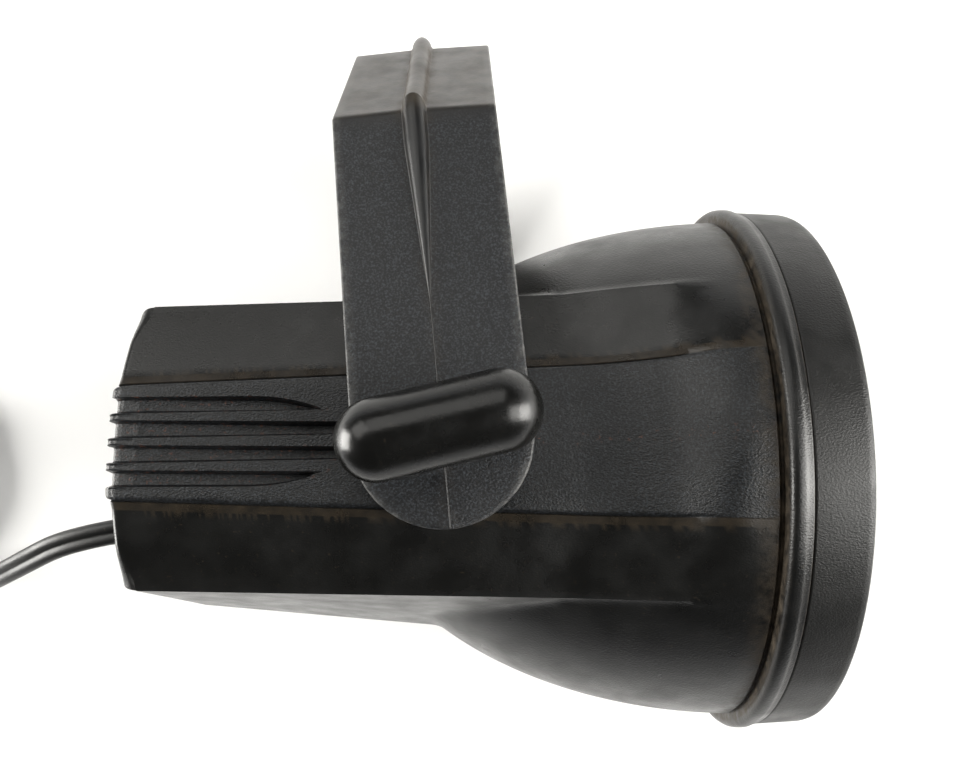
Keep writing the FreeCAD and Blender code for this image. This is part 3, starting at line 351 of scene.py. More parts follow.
def lathed(name, outline, turns, sharp, centre=(0, 0, 0)):
    """A closed outline of (x, radius) points turned about the beam's direction through centre."""
    angles = np.linspace(0, 2 * math.pi, turns, endpoint=False)
    x0, y0, z0 = centre
    rows = [[(x0 + x, y0 + r * math.cos(a), z0 + r * math.sin(a)) for x, r in outline] for a in angles]
    points = np.array(rows).reshape(-1, 3)
    columns = len(outline)
    on_axis = outline[0][1] == 0 and outline[-1][1] == 0
    faces = grid_faces(turns, columns, closed=not on_axis)
    last = (turns - 1) * columns
    faces += [(last + j, last + (j + 1) % columns, (j + 1) % columns, j)
              for j in range(columns - on_axis)]
    return shaped(name, points, faces, sharp=sharp)


def plain_mesh(thing):
    """The object with its modifiers made real and removed."""
    graph = bpy.context.evaluated_depsgraph_get()
    mesh = bpy.data.meshes.new_from_object(thing.evaluated_get(graph))
    thing.modifiers.clear()
    thing.data = mesh
    return thing


def combined(base, others, operation):
    """Base with each of the others joined to it or cut from it; the others are removed."""
    for other in others:
        tool = base.modifiers.new("tool", "BOOLEAN")
        tool.operation = operation
        tool.solver = "EXACT"
        tool.object = other
    plain_mesh(base)
    for other in others:
        bpy.data.objects.remove(other)
    made = bmesh.new()
    made.from_mesh(base.data)
    smooth(made, PLAIN_SHARP)
    made.to_mesh(base.data)
    made.free()
    return base


def rod(name, radius, start, end, sides):
    """A plain closed cylinder between two points, used to join to and cut from other pieces."""
    start, end = np.array(start, float), np.array(end, float)
    along = (end - start) / np.linalg.norm(end - start)
    side = np.cross(along, (0, 0, 1) if abs(along[2]) < 0.9 else (1, 0, 0))
    side /= np.linalg.norm(side)
    up = np.cross(along, side)
    angles = np.linspace(0, 2 * math.pi, sides, endpoint=False)
    loop = [radius * (math.cos(a) * side + math.sin(a) * up) for a in angles]
    points = [start + p for p in loop] + [end + p for p in loop]
    return shaped(name, points, capped_faces(2, sides))


def dress(thing, body, material=None, stands_for=()):
    """Gives a finished piece its material and its body, and hides the nodes it stands for."""
    if material:
        thing.data.materials.clear()
        thing.data.materials.append(material)
    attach(thing, body)
    if stands_for:
        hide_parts(*stands_for)
    return thing


def eased(low, high, value):
    """0 below low, 1 above high, and a smooth step between."""
    t = np.clip((np.asarray(value, float) - low) / (high - low), 0, 1)
    return t * t * (3 - 2 * t)


# ---- housing ---------------------------------------------------------------------------------------
def bell_radius(s, x, inset=0.0):
    share = (np.asarray(x, float) - s.bell_crest) / (s.bell_length - inset)
    return (s.bell - inset) * np.sqrt(np.maximum(1 - share * share, 0.0))


def larger(a, b, blend):
    """The larger of two values, rounded over where they are about equal."""
    h = np.clip(0.5 + 0.5 * (a - b) / blend, 0, 1)
    return b * (1 - h) + a * h + blend * h * (1 - h)


def rib_half(s, x):
    """Half width of a rib, which is thin at the rear and thicker towards the nose."""
    thick_from = -28.0          # where along the beam the ribs have gained most of their width
    return 0.64 + 0.51 * np.clip((x - s.rear) / (thick_from - s.rear), 0, 1.1)


def field_half(s, x):
    """Half height of the grooved field, which closes in a round nose."""
    share = (x - (s.nose - s.nose_length)) / s.nose_length
    return s.field_half * np.sqrt(np.clip(1 - np.clip(share, 0, 1) ** 2, 0, 1))


def groove_depth(s, x):
    """The grooves fall away to the rear, and past a small bend they deepen to their front ends."""
    ramp, deep_from = 5.2, -26.0        # length of the fall behind the bend, and where the depth is full
    bend = s.rear + ramp
    front = (s.groove_front - s.groove_rear) * np.clip((x - bend) / (deep_from - bend), 0, 1) ** 0.8
    return s.groove_rear + front + 0.5 * float(np.clip((bend - x) / ramp, 0, 1.1))


def rear_droop(s, x):
    """How far the tops of the ribs and borders sink as they reach the rear face."""
    return 0.55 * float(np.clip(1 - (x - s.rear) / 6.5, 0, 1)) ** 2


def strip_lines(s, x):
    """The lines across the upper half of the strip, from its edge to its middle.

    Each has its height, its depth and its kind: 0 on the border, 1 in a groove and 2 on top of a rib.
    """
    half = s.strip + s.strip_slope * (x - s.rear)
    field = field_half(s, x)
    thin = rib_half(s, x)
    edges = np.minimum([s.rib_pitch + thin, s.rib_pitch - thin, thin], field)
    lines = [(half, -s.step, 0), (half - 0.25, -0.3, 0), (half - 0.6, -0.06, 0), (half - 1.0, 0.0, 0)]
    for t in (0.3, 0.6, 0.85):
        lines.append((half - 1.0 + (field - half + 1.0) * t, 0.0, 0))
    # a groove's wall: how far in from its edge, in millimetres, and what share of its depth is reached
    wall = [(0.0, 0.0), (0.12, 0.12), (0.22, 0.3), (0.34, 0.75), (0.6, 0.97), (0.95, 1.0)]
    for top, low, rib, steps in ((field, edges[0], edges[1], (0.25, 0.5, 0.75)),
                                 (edges[1], edges[2], 0.0, (0.5, 1.0))):
        wide = top - low
        fit = min(1.0, wide / 2.0)
        deep = groove_depth(s, x) * min(1.0, wide)
        lines += [(top - off * fit, -deep * d, 1) for off, d in wall]
        lines.append(((top + low) / 2, -deep, 1))
        lines += [(low + off * fit, -deep * d, 1) for off, d in reversed(wall)]
        lines += [(low + (rib - low) * t, 0.0, 2) for t in steps]
    return np.array(lines)


def strip_width(s, x):
    """Half width over the strip: flat along the box, then rising to meet the bell."""
    rise = np.clip((x - s.waist) / (s.blend - s.waist), 0, 1)
    return s.strip_z + (bell_radius(s, s.blend) - s.strip_z) * rise ** 1.75


TOP_LINES = 34          # points from the seam to the box's side edge
PANEL_LINES = 13        # and from there down the side panel to the strip


def quarter(s, x, inset=0.0, plain=False):
    """Points of the right side's upper quarter at x, from the seam to the middle of the strip.

    Each has its height, half width, grain, groove mark (-1 on the bevel, which gets a pale film of dust and
    painted sheen) and the radius to which it is rounded at the rear.
    """
    bell = bell_radius(s, x, inset)
    settle = eased(45.0, s.blend + 1.0, x)
    mid = s.mid + s.mid_slope * (x - s.rear) - inset
    edge = s.edge + s.edge_slope * (x - s.rear) - inset
    on_bell = math.sqrt(max(bell * bell - edge * edge, 0.0)) + 0.45 * (1 - eased(50.0, 58.0, x))
    edge_z = float(larger(s.edge_z - inset, on_bell, 1.0))
    strip = strip_lines(s, x)
    if plain:
        strip[:, 1] = np.where(strip[:, 2] > 0, -s.groove_front, strip[:, 1])
    strip_z = strip_width(s, x) - inset
    panel_end = strip_z - s.step * (1 - settle)
    rows = []
    seam = [0.0, 0.12, 0.3, 0.6]
    for t in seam + list(edge_z * np.linspace(0.04, 1, TOP_LINES - len(seam)) ** 0.9):
        share = t / edge_z
        y, z = mid + (edge - mid) * share, t
        flat = math.hypot(y, z)
        reach = float(larger(flat, bell, 1.4)) if share < 0.97 else max(flat, bell)
        y, z = y * reach / flat, z * reach / flat
        y -= 0.3 * (1 - t / 0.3) if t < 0.3 and not inset else 0.0
        rows.append((y, z, 0.35, 0.0, 3.2))
    long = edge - strip[0, 0]
    bevel = 1.9                 # width of the lighter bevel that runs along the strip
    panel = list(np.linspace(0, 1 - bevel / long, PANEL_LINES - 1)[1:])
    for t in panel + [1 - (bevel - 0.25) / long, 1 - 0.3 / long]:
        y = edge - long * t
        z = edge_z + (panel_end - edge_z) * t
        z += 0.42 * max(0.0, 1 - long * (1 - t) / bevel) * float(1 - settle)
        round_z = math.sqrt(max(bell * bell - y * y, 0.0))
        rows.append((y, z * (1 - settle) + round_z * settle, 0.0, -1.0 if long * (1 - t) < bevel else 0.0,
                     3.2 - 2.0 * float(eased(0, 0.5, t))))
    droop = rear_droop(s, x)
    for y, drop, kind in strip:
        flat_z = strip_z + drop * (1 - settle if kind == 0 else 1) - droop * (kind != 1)
        round_z = math.sqrt(max(bell * bell - y * y, 0.0))
        rows.append((y, flat_z * (1 - settle) + round_z * settle, 1.0, 1.0 if kind == 1 else 0.0, 1.2))
    return np.array(rows)


def side_section(s, x, inset=0.0, plain=False):
    """The quarter and its mirror below, from the upper seam to the lower one."""
    upper = quarter(s, x, inset, plain)
    lower = upper[:-1][::-1].copy()
    lower[:, 0] *= -1
    return np.vstack([upper, lower])


def rear_face(s, y):
    """Where the rear face is at a height: it falls back towards the box's upper and lower edges."""
    curve = (s.edge ** 2 + s.rear_sag ** 2) / (2 * s.rear_sag)
    return s.rear + curve - math.sqrt(curve * curve - min(y * y, curve * curve))


def on_rib(s, y, z):
    """How much a point at the rear belongs to one of the five ribs' rounded ends."""
    nearest = abs(abs(y) - s.rib_pitch * round(abs(y) / s.rib_pitch))
    inside = math.sqrt(max(1 - (nearest / 0.95) ** 4, 0.0)) if abs(y) < s.rib_pitch * 1.6 else 0.0
    corner = 1.15               # radius of the borders' outer rear corners
    over = max(abs(y) - (s.strip - corner), 0.0) / corner
    border = math.sqrt(max(1 - over * over, 0.0))
    border *= float(eased(s.field_half - 0.1, s.field_half + 0.15, abs(y)))
    return max(inside, border) * float(eased(s.strip_z - 3.4, s.strip_z - 1.9, abs(z)))


def shell_rows(s):
    """Rows of points over the right half: out over the rear face, forward, and back along the inside."""
    rows, marks = [], []
    base = side_section(s, s.rear)
    count = len(base)
    none = np.zeros(count)

    def store(points, grain=none, dust=none, groove=none):
        rows.append(np.array(points))
        marks.append(np.stack([grain, dust, np.maximum(groove, 0), 0.9 * (groove < 0)], axis=1))

    for t in (0.0, 0.25, 0.5, 0.7, 0.82, 0.9, 0.94, 0.97, 1.0):
        points = []
        for (y, z, grain, groove, radius) in base:
            inner_y = y * (1 - radius / max(math.hypot(y, z), 1.0)) * t
            inner_z = z * (1 - radius / max(math.hypot(y, z), 1.0)) * t
            x = rear_face(s, inner_y) - s.rib_proud * on_rib(s, inner_y, inner_z)
            points.append((x, inner_y, inner_z))
        store(points, base[:, 2] * (t > 0.9))
    for turn in (15, 30, 45, 60, 75, 90):
        a = math.radians(turn)
        points = []
        for (y, z, grain, groove, radius) in base:
            shrink = 1 - radius * (1 - math.sin(a)) / max(math.hypot(y, z), 1.0)
            x = rear_face(s, y * shrink) + radius * (1 - math.cos(a))
            proud = s.rib_proud * on_rib(s, y, z) * (1 - 0.35 * turn / 90)
            points.append((x - proud, y * shrink, z * shrink))
        store(points, base[:, 2], groove=base[:, 3])
    ahead = s.rear + 6.0
    starts = np.array([rear_face(s, y) + r for y, z, grain, groove, r in base])
    stations = np.linspace(s.rear, ahead, 16)
    table = np.array([side_section(s, x)[:, :2] for x in stations])
    for t in np.linspace(0, 1, 14)[1:]:
        points = []
        for j in range(count):
            x = starts[j] + (ahead - starts[j]) * t
            y, z = (np.interp(x, stations, table[:, j, k]) for k in (0, 1))
            back = s.rib_proud * on_rib(s, y, z) * 0.65 * (1 - float(eased(0, 0.5, t)))
            points.append((x - back, y, z))
        store(points, base[:, 2], groove=base[:, 3])
    fine = np.arange(ahead + 0.4, s.nose + 2.0, 0.42)
    plain = np.arange(s.nose + 2.4, s.flange - 1.6, 0.9)
    for x in np.concatenate([fine, plain]):
        found = side_section(s, x)
        dust = 0.6 * float(eased(s.flange - 6, s.flange - 1.4, x))
        store(np.column_stack([np.full(count, x), found[:, :2]]), found[:, 2], none + dust, found[:, 3])
    angles = np.arctan2(rows[-1][:, 1], rows[-1][:, 2])
    crest = bell_radius(s, s.flange)
    # the flange, the spigot and the mouth: along the beam, radius and dust
    outside = [(s.flange - 1.2, crest, 0.8), (s.flange - 0.9, crest - 0.35, 1.0),
               (s.flange - 0.5, crest - 0.75, 1.0), (s.flange - 0.05, crest - 0.8, 1.0),
               (s.flange, crest - 0.6, 1.0),
               (s.flange, s.flange_radius - 1.7, 0.9), (s.flange + 0.1, s.flange_radius - 1.0, 0.3),
               (s.flange + 0.45, s.flange_radius - 0.4, 0.1), (s.flange + 1.0, s.flange_radius - 0.08, 0.0),
               (s.flange + 1.6, s.flange_radius, 0.0), (s.flange + 2.6, s.flange_radius, 0.0),
               (s.flange + 3.1, s.flange_radius - 0.22, 0.1), (s.flange + 3.5, s.flange_radius - 0.42, 0.1),
               (s.joint - 0.5, s.flange_radius - 0.5, 0.0), (s.joint - 0.15, s.flange_radius - 0.6, 0.3),
               (s.joint, s.flange_radius - 0.85, 1.0), (s.joint, s.spigot_radius + 0.05, 1.0),
               (s.joint, s.spigot_radius, 1.0), (s.joint + s.spigot - 0.3, s.spigot_radius, 0.0),
               (s.joint + s.spigot, s.spigot_radius - 0.3, 0.0), (s.joint + s.spigot, s.mouth + 0.3, 0.0),
               (s.joint + s.spigot - 0.3, s.mouth, 0.0), (s.flange - 1.5, s.mouth, 0.0),
               (s.flange - 2.5, bell_radius(s, s.flange - 2.5, s.wall), 0.0)]
    for x, r, dust in outside:
        points = np.column_stack([np.full(count, x), r * np.sin(angles), r * np.cos(angles)])
        store(points, none + 0.35, none + dust)
    for x in (56, 50, 44, 38, 32, 26, 20, 14, 8, 2, -6, -16, -20, -30, -45, -58, s.rear + s.wall + 1.5):
        found = side_section(s, x, s.wall, plain=x < -17)
        store(np.column_stack([np.full(count, x), found[:, :2]]))
    for t in (1.0, 0.5, 0.0):
        found = side_section(s, s.rear + s.wall, s.wall, plain=True)
        points = [(rear_face(s, y * t) + s.wall, y * t * 0.97, z * t * 0.97) for y, z in found[:, :2]]
        store(points)
    return rows, marks


def housing_shell(name, s, side):
    """One half of the housing as a closed wall; side is 1 for the right and -1 for the left."""
    rows, marks = shell_rows(s)
    columns = len(rows[0])
    points = np.vstack(rows)
    points[:, 2] = np.maximum(points[:, 2], 0.0) * side
    faces = grid_faces(len(rows), columns)
    first = [i * columns for i in range(len(rows))]
    last = [i * columns + columns - 1 for i in range(len(rows))]
    faces.append(tuple(first + last[::-1]))
    marks = np.vstack(marks)
    return shaped(name, points, faces, sharp=46.0,
                  marks=dict(zip(("grain", "dust", "groove", "bevel"), marks.T)))


# ---- yoke ------------------------------------------------------------------------------------------
PIVOT_HOLE = 3.3        # radius of the arms' holes for the knobs' screws
LEAD_IN = 0.7           # step that leads the stake into the socket
PAST = 5                # how far the socket's cutting rods reach past it


def yoke_path(s):
    """Stations along the right half of the U, from the arm's foot to the middle of the bridge.

    Each has its height and half width from the lamp's middle, the outward direction, the half width
    across, the shift forward and the bead's radius.
    """
    bevel = np.array([s.bridge_y - s.bevel_y, s.bridge_z - s.face])
    bevel_long = np.linalg.norm(bevel)
    bevel /= bevel_long
    legs = [(np.array([0.0, s.face]), np.array([1.0, 0.0]), -s.end, s.bevel_y),
            (np.array([s.bevel_y, s.face]), bevel, 0.0, bevel_long),
            (np.array([s.bridge_y, s.bridge_z]), np.array([0.0, -1.0]), 0.0, s.bridge_z)]
    foot = [-s.end + s.end * (1 - math.cos(math.radians(a))) for a in (2, 6, 11, 17, 24, 32, 41, 51, 62, 75)]
    spots = [foot + list(np.arange(-12.0, s.bevel_y - 2.4, 1.5)), list(np.arange(1.5, bevel_long - 2, 2.6)),
             list(np.arange(1.5, s.bridge_z - 1, 2.6)) + [s.bridge_z]]
    corner_round = 0.7
    stations = []
    for k, (start, along, low, high) in enumerate(legs):
        out = np.array([-along[1], along[0]])
        for t in sorted(set(round(v, 4) for v in spots[k])):
            stations.append((start + along * t, out))
        if k < 2:
            after = legs[k + 1][1]
            out_after = np.array([-after[1], after[0]])
            corner = legs[k + 1][0]
            for share in (0.0, 0.25, 0.5, 0.75, 1.0):
                near = (1 - share) ** 2 * (corner - along * corner_round) + 2 * share * (1 - share) * corner
                near = near + share ** 2 * (corner + after * corner_round)
                mix = out * (1 - share) + out_after * share
                mix = mix / np.linalg.norm(mix)
                stations.append((near, mix / max(np.dot(mix, out), 0.5)))
    least_bead = 0.14           # radius of what is left of the bead at the arm's foot
    found = []
    for (y, z), out in stations:
        if y < 0:
            half = math.sqrt(max(s.end ** 2 - y * y, 0.0))
            shift = 0.0
        elif y < s.bevel_y:
            half = s.end + (s.top_half - s.end) * y / s.bevel_y
            shift = 0.0
        else:
            share = (y - s.bevel_y) / (s.bridge_y - s.bevel_y)
            half = s.top_half + (s.bridge_half - s.top_half) * share
            shift = s.bridge_shift * share
        taper = min(max((y - s.bead_tail) / (s.bead_full - s.bead_tail), 0.0), 1.0)
        bead = least_bead + (s.bead - least_bead) * taper ** 0.9
        found.append((y, z, out[0], out[1], half, shift, bead))
    return found


def yoke_across(s, half, bead, crown):
    """Offsets across the band and above its outer face, right round one section."""
    edge = 0.55
    bead = min(bead, half * 0.5)
    top = []
    for t in np.linspace(1, 0, 10):
        x = bead * 1.12 + (half - edge - bead * 1.12) * t
        top.append((x, 0.0))
    for turn in (8, 22, 36, 50, 64, 78, 90):
        a = math.radians(turn)
        top.append((bead * math.cos(a), bead * math.sin(a)))
    right = [(x, y + crown * (1 - x / max(half, 0.1))) for x, y in top]
    left = [(-x, y) for x, y in reversed(right[:-1])]
    corner = [(half - edge + edge * math.sin(math.radians(a)), -edge + edge * math.cos(math.radians(a)))
              for a in (90, 68, 45, 22)]
    low = -s.thick
    inner = [(half - 0.02, low + 0.5), (half - 0.2, low + 0.12), (half - 0.6, low)]
    body = [(half * t, low) for t in (0.66, 0.33)]
    side = corner[::-1] + [(half, low + 1.2)] + inner + body
    return [(0.0, low)] + side[::-1] + right + left + [(-x, y) for x, y in side]


def yoke_band(s):
    """The U with its crowned arms, bevels, bridge and bead, as one closed band."""
    right = yoke_path(s)
    path = right + [(y, -z, oy, -oz, half, shift, bead) for y, z, oy, oz, half, shift, bead in right[-2::-1]]
    rows, dust, grain, worn = [], [], [], []
    for y, z, out_y, out_z, half, shift, bead in path:
        section = yoke_across(s, half, bead, s.crown if half > 1 else 0.0)
        rows.append([(shift + x, y + out_y * up, z + out_z * up) for x, up in section])
        near = [1 - float(eased(bead * 0.9, bead * 0.9 + 2.6, abs(x))) for x, up in section]
        high = float(eased(s.bevel_y - 3, s.bevel_y + 1, y))
        dust.append([n * (0.15 + 0.5 * high) * (1.0 if abs(x) > bead * 0.8 else 0.2)
                     for n, (x, up) in zip(near, section)])
        grain.append([(1 - high) * (abs(x) > bead * 1.05) for x, up in section])
        worn.append([float(eased(half - 0.75, half - 0.3, abs(x))) * (up > -0.6) for x, up in section])
    columns = len(rows[0])
    # the bevel and bridge get a pale warm film in the finish: partly dust, partly painted sheen
    bevel = [float(eased(s.bevel_y - 1.0, s.bevel_y + 0.6, y)) for y, *rest in path]
    points = lean(s, np.array(rows).reshape(-1, 3))
    return shaped("yoke", points, capped_faces(len(rows), columns), sharp=50.0,
                  marks={"dust": np.ravel(dust), "worn": np.ravel(worn), "grain": np.ravel(grain),
                         "bevel": np.repeat(bevel, columns)})


def lean(s, points):
    """Points leant to the rear with the yoke, about the pivot."""
    a = math.radians(s.lean)
    turned = np.array(points, float)
    x, y = turned[:, 0].copy(), turned[:, 1].copy()
    turned[:, 0] = math.cos(a) * x - math.sin(a) * y
    turned[:, 1] = math.sin(a) * x + math.cos(a) * y
    return turned


def leant_rod(s, name, radius, start, end):
    """A cylinder for the yoke, leant with it."""
    return rod(name, radius, *lean(s, [start, end]), sides=64)


def build_yoke(s):
    band = yoke_band(s)
    shift = s.bridge_shift
    low, high = s.collar_low, s.collar_high
    collar = leant_rod(s, "collar", s.collar, (shift, low, 0), (shift, high - 0.8, 0))
    mouth = leant_rod(s, "mouth", s.collar - 0.6, (shift, low + 1, 0), (shift, high, 0))
    combined(band, [collar, mouth], "UNION")
    bore = leant_rod(s, "bore", s.bore, (shift, low - PAST, 0), (shift, high + PAST, 0))
    lead_in = leant_rod(s, "lead_in", s.bore + LEAD_IN, (shift, high - LEAD_IN, 0),
                        (shift, high + PAST, 0))
    reach = s.face + 6          # well past both arms
    pivot = leant_rod(s, "pivot_hole", PIVOT_HOLE, (0, 0, -reach), (0, 0, reach))
    return combined(band, [bore, lead_in, pivot], "DIFFERENCE")


# ---- knobs -----------------------------------------------------------------------------------------
KNOB_SIDES = 96
FLUTES = 16             # shallow flutes round the neck


def capsule(s, side):
    """A knob: a round-ended bar, a little flattened at its ends, on a fluted neck."""
    reach = s.bar / 2 - s.radius
    turn = math.radians(s.turn)
    outline = []
    for a in np.linspace(0, 90, 19):
        outline.append((-reach - s.radius * math.cos(math.radians(a)), s.radius * math.sin(math.radians(a))))
    for t in np.linspace(0, 1, 15)[1:-1]:
        x = -reach + 2 * reach * t
        outline.append((x, s.radius - 0.06 * math.sin(math.pi * t)))
    outline += [(-x, r) for x, r in reversed(outline[:19])]
    cos_turn, sin_turn = math.cos(turn), math.sin(turn)
    rows = [[(x * cos_turn - r * across * sin_turn, x * sin_turn + r * across * cos_turn,
              side * (s.height + r * up)) for across, up in circle(KNOB_SIDES)] for x, r in outline]
    points = np.array(rows).reshape(-1, 3)
    faces = grid_faces(len(rows), KNOB_SIDES, closed=True)
    return shaped("knob_right" if side > 0 else "knob_left", points, faces, sharp=60.0)


def neck(s, side):
    """The knob's neck, with shallow flutes and a small foot flange."""
    heights = [s.foot, s.foot + 0.3, s.foot + 1.6, s.foot + 2.0, s.height - s.radius * 0.55]
    radii = [s.neck - 0.3, s.neck, s.neck, s.neck - 0.7, s.neck - 0.9]
    rows = []
    for z, r in zip(heights, radii):
        flute = 0.0 if z < s.foot + 1.8 else 0.35
        reach = [r - flute * (0.5 + 0.5 * math.cos(FLUTES * 2 * math.pi * j / KNOB_SIDES))
                 for j in range(KNOB_SIDES)]
        rows.append([(out * across, out * up, side * z)
                     for out, (across, up) in zip(reach, circle(KNOB_SIDES))])
    faces = capped_faces(len(rows), KNOB_SIDES)
    return shaped("neck", np.array(rows).reshape(-1, 3), faces, sharp=60.0)


# ---- front ring and lens ---------------------------------------------------------------------------
def build_ring(s, r):
    """The front ring, from its joint with the flange to the lip that holds the lens."""
    rear = r.rim + r.draft
    seat = r.lens_rear + r.lens_thick
    inner = s.spigot_radius + 0.1
    outline = rounded([(s.joint + 0.02, inner), (s.joint + 0.02, rear - 0.45, 0.1),
                       (s.joint + 0.35, rear - 0.05, 0.25), (r.front - 1.5, r.rim + 0.04, 0.4),
                       (r.front - 0.25, r.rim - 0.3, 0.7), (r.front, r.rim - 1.3, 0.4),
                       (r.front, r.lip + 2.1, 0.5), (seat + 0.5, r.lip, 0.3), (seat, r.lip, 0.1),
                       (seat, inner, 0.1)], 0.1)
    return lathed("front_ring", outline, turns=256, sharp=60.0)


def build_lens(r):
    """Clear dished lens: a flat rim and a low dome with its hollow behind it."""
    edge = r.lip - 1.5
    curve = (edge ** 2 + r.dome ** 2) / (2 * r.dome)
    front = r.lens_rear + r.lens_thick
    centre = front + r.dome - curve
    outer = [(centre + math.sqrt(curve ** 2 - q * q), q) for q in np.linspace(0.02, edge, 40)]
    inner_curve = curve - r.lens_thick
    start = math.sqrt(max(inner_curve ** 2 - (r.lens_rear - centre) ** 2, 0.0))
    inner = [(centre + math.sqrt(max(inner_curve ** 2 - q * q, 0.0)), q)
             for q in np.linspace(start, 0.02, 40)]
    rim = [(front, edge + 0.4), (front, r.lens_radius - 0.3), (front - 0.3, r.lens_radius),
           (r.lens_rear + 0.3, r.lens_radius), (r.lens_rear, r.lens_radius - 0.3)]
    return lathed("front_lens", outer + rim + inner, turns=144, sharp=30.0)


# ---- cord ------------------------------------------------------------------------------------------
CORD_ROUTE = (          # metres: from the gland's tip down to the coil, after the first point
    (-0.1045, -0.0409, 0.0969), (-0.1210, -0.0493, 0.0926), (-0.1380, -0.0580, 0.0845),
    (-0.1550, -0.0655, 0.0715), (-0.1700, -0.0715, 0.0540), (-0.1845, -0.0770, 0.0355),
    (-0.2010, -0.0815, 0.0210), (-0.2200, -0.0855, 0.0124),
)
TAIL_ROUTE = (          # metres: from the coil to the plug, before the last point
    (-0.2912, -0.0520, 0.0040), (-0.2907, -0.0360, 0.0040), (-0.2884, -0.0220, 0.0044),
    (-0.2850, -0.0080, 0.0054),
)
CORD_ROLL = (95.0, 205.0)       # millimetres along the cord over which it rolls on edge for the coil
PLUG_ROLL = (34, 4)     # and millimetres before its far end over which it lies flat again
COIL_START = -75.0      # degrees round the coil where the cord comes in on top, at its outside
COIL_END = -180.0       # and, some turns later, where it leaves along the floor


def coil_route(c):
    """Control points of the turns: clockwise, inwards on the upper layer, then outwards on the floor.

    The spline runs inside its control points, so they stand out by the same share.
    """
    per_turn = 16
    swept = COIL_START - COIL_END + 360 * c.turns
    turns = swept / 360
    outer = c.coil_outer - c.thick / 2 - 0.05
    inner = c.coil_inner + c.thick / 2 + 0.05
    stand_out = 1 / (0.75 + 0.25 * math.cos(2 * math.pi / per_turn))
    low, high = c.width / 2 + 0.1, c.width * 1.5 + 0.3
    count = round(per_turn * turns)
    points = []
    for i in range(count + 1):
        done = turns * i / count
        angle = math.radians(COIL_START - swept * i / count)
        radius = inner + (outer - inner) * abs(1 - 2 * done / turns)
        radius += 0.25 * math.sin(2 * angle + 0.6)
        height = high + (low - high) * float(eased(turns / 2 - 0.15, turns / 2 + 0.25, done))
        points.append(((c.coil_x + radius * stand_out * math.cos(angle)) * MM,
                       (c.coil_y + radius * stand_out * math.sin(angle)) * MM, height * MM))
    return points


def smooth_line(points):
    """The points of a smooth open spline that has the given ones as its control points."""
    curve = bpy.data.curves.new("cord_line", "CURVE")
    curve.dimensions = "3D"
    curve.resolution_u = 10
    spline = curve.splines.new("NURBS")
    spline.points.add(len(points) - 1)
    for spot, point in zip(spline.points, points):
        spot.co = (*point, 1.0)
    spline.order_u = 3
    spline.use_endpoint_u = True
    holder = bpy.data.objects.new("cord_line", curve)
    mesh = bpy.data.meshes.new_from_object(holder)
    line = np.array([v.co for v in mesh.vertices], float)
    bpy.data.meshes.remove(mesh)
    bpy.data.curves.remove(curve)
    return line


def flat_outline(c):
    """Outline of the two-core cord: two rounded cores with a shallow groove on each side."""
    half, r = (c.width - c.thick) / 2, c.thick / 2
    right = []
    for turn in (-90, -68, -45, -22, 0, 22, 45, 68, 90):
        a = math.radians(turn)
        right.append((half + r * math.cos(a), r * math.sin(a)))
    valley = [(half * 0.55, r - 0.04), (half * 0.25, r - c.groove * 0.6), (0.0, r - c.groove)]
    top = right + valley
    left = [(-x, y) for x, y in reversed(top[:-1])]
    bottom = [(-x, -y) for x, y in valley[:2]] + [(0.0, -(r - c.groove))]
    return top + left + bottom + [(x, -y) for x, y in valley[1::-1]]


def cord_tube(c, line):
    """The flat cord along a line: its wide side level at first, turned on edge for the coil."""
    points = line / MM
    along = np.gradient(points, axis=0)
    along /= np.linalg.norm(along, axis=1)[:, None]
    travelled = np.concatenate([[0], np.cumsum(np.linalg.norm(np.diff(points, axis=0), axis=1))])
    outline = flat_outline(c)
    rows = []
    for point, ahead, done in zip(points, along, travelled):
        side = np.cross((0.0, 0.0, 1.0), ahead)
        side /= np.linalg.norm(side)
        up = np.cross(ahead, side)
        edge_on = float(eased(*CORD_ROLL, done))
        edge_on -= float(eased(travelled[-1] - PLUG_ROLL[0], travelled[-1] - PLUG_ROLL[1], done))
        turn = math.radians(90) * edge_on
        wide = side * math.cos(turn) + up * math.sin(turn)
        high = np.cross(ahead, wide)
        rows.append([point + wide * x + high * y for x, y in outline])
    faces = capped_faces(len(rows), len(outline))
    return shaped("power_cord", np.array(rows).reshape(-1, 3), faces, FLOOR, 60.0)


def build_cord(c, s):
    """The cord, its line in metres and the place where it leaves the gland."""
    exit_point = in_frame(s.rear - c.relief, c.leave_y, 0)
    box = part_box("plug_body")
    plug_tail = Vector(((box[0].x + box[1].x) / 2, box[0].y, (box[0].z + box[1].z) / 2))
    line = smooth_line([tuple(exit_point), *CORD_ROUTE, *coil_route(c)[:-1], *TAIL_ROUTE, tuple(plug_tail)])
    return cord_tube(c, line), line, exit_point


def build_relief(c, s):
    """Tapered strain relief with rings moulded round it."""
    out = s.rear - c.relief
    outline = [(s.rear + 1.2, 0.0), (s.rear + 1.2, 5.0), (s.rear - 0.2, 5.0), (s.rear - 0.2, 6.0)]
    outline += [(s.rear - 1.6, 5.95), (s.rear - 2.2, 5.7)]
    start, span = s.rear - 2.6, out + 0.5 - (s.rear - 2.6)
    rings, per_ring = 5, 8
    for i in range(rings * per_ring + 1):
        t = i / (rings * per_ring)
        along = (t * rings) % 1.0
        dent = 0.55 * float(eased(0.45, 0.62, along)) * float(1 - eased(0.88, 1.0, along))
        outline.append((start + span * t, 5.55 - 1.55 * t - dent))
    outline += [(out, 3.7), (out, 0.0)]
    return lathed("strain_relief", outline, turns=64, centre=(0, c.leave_y, 0), sharp=50.0)


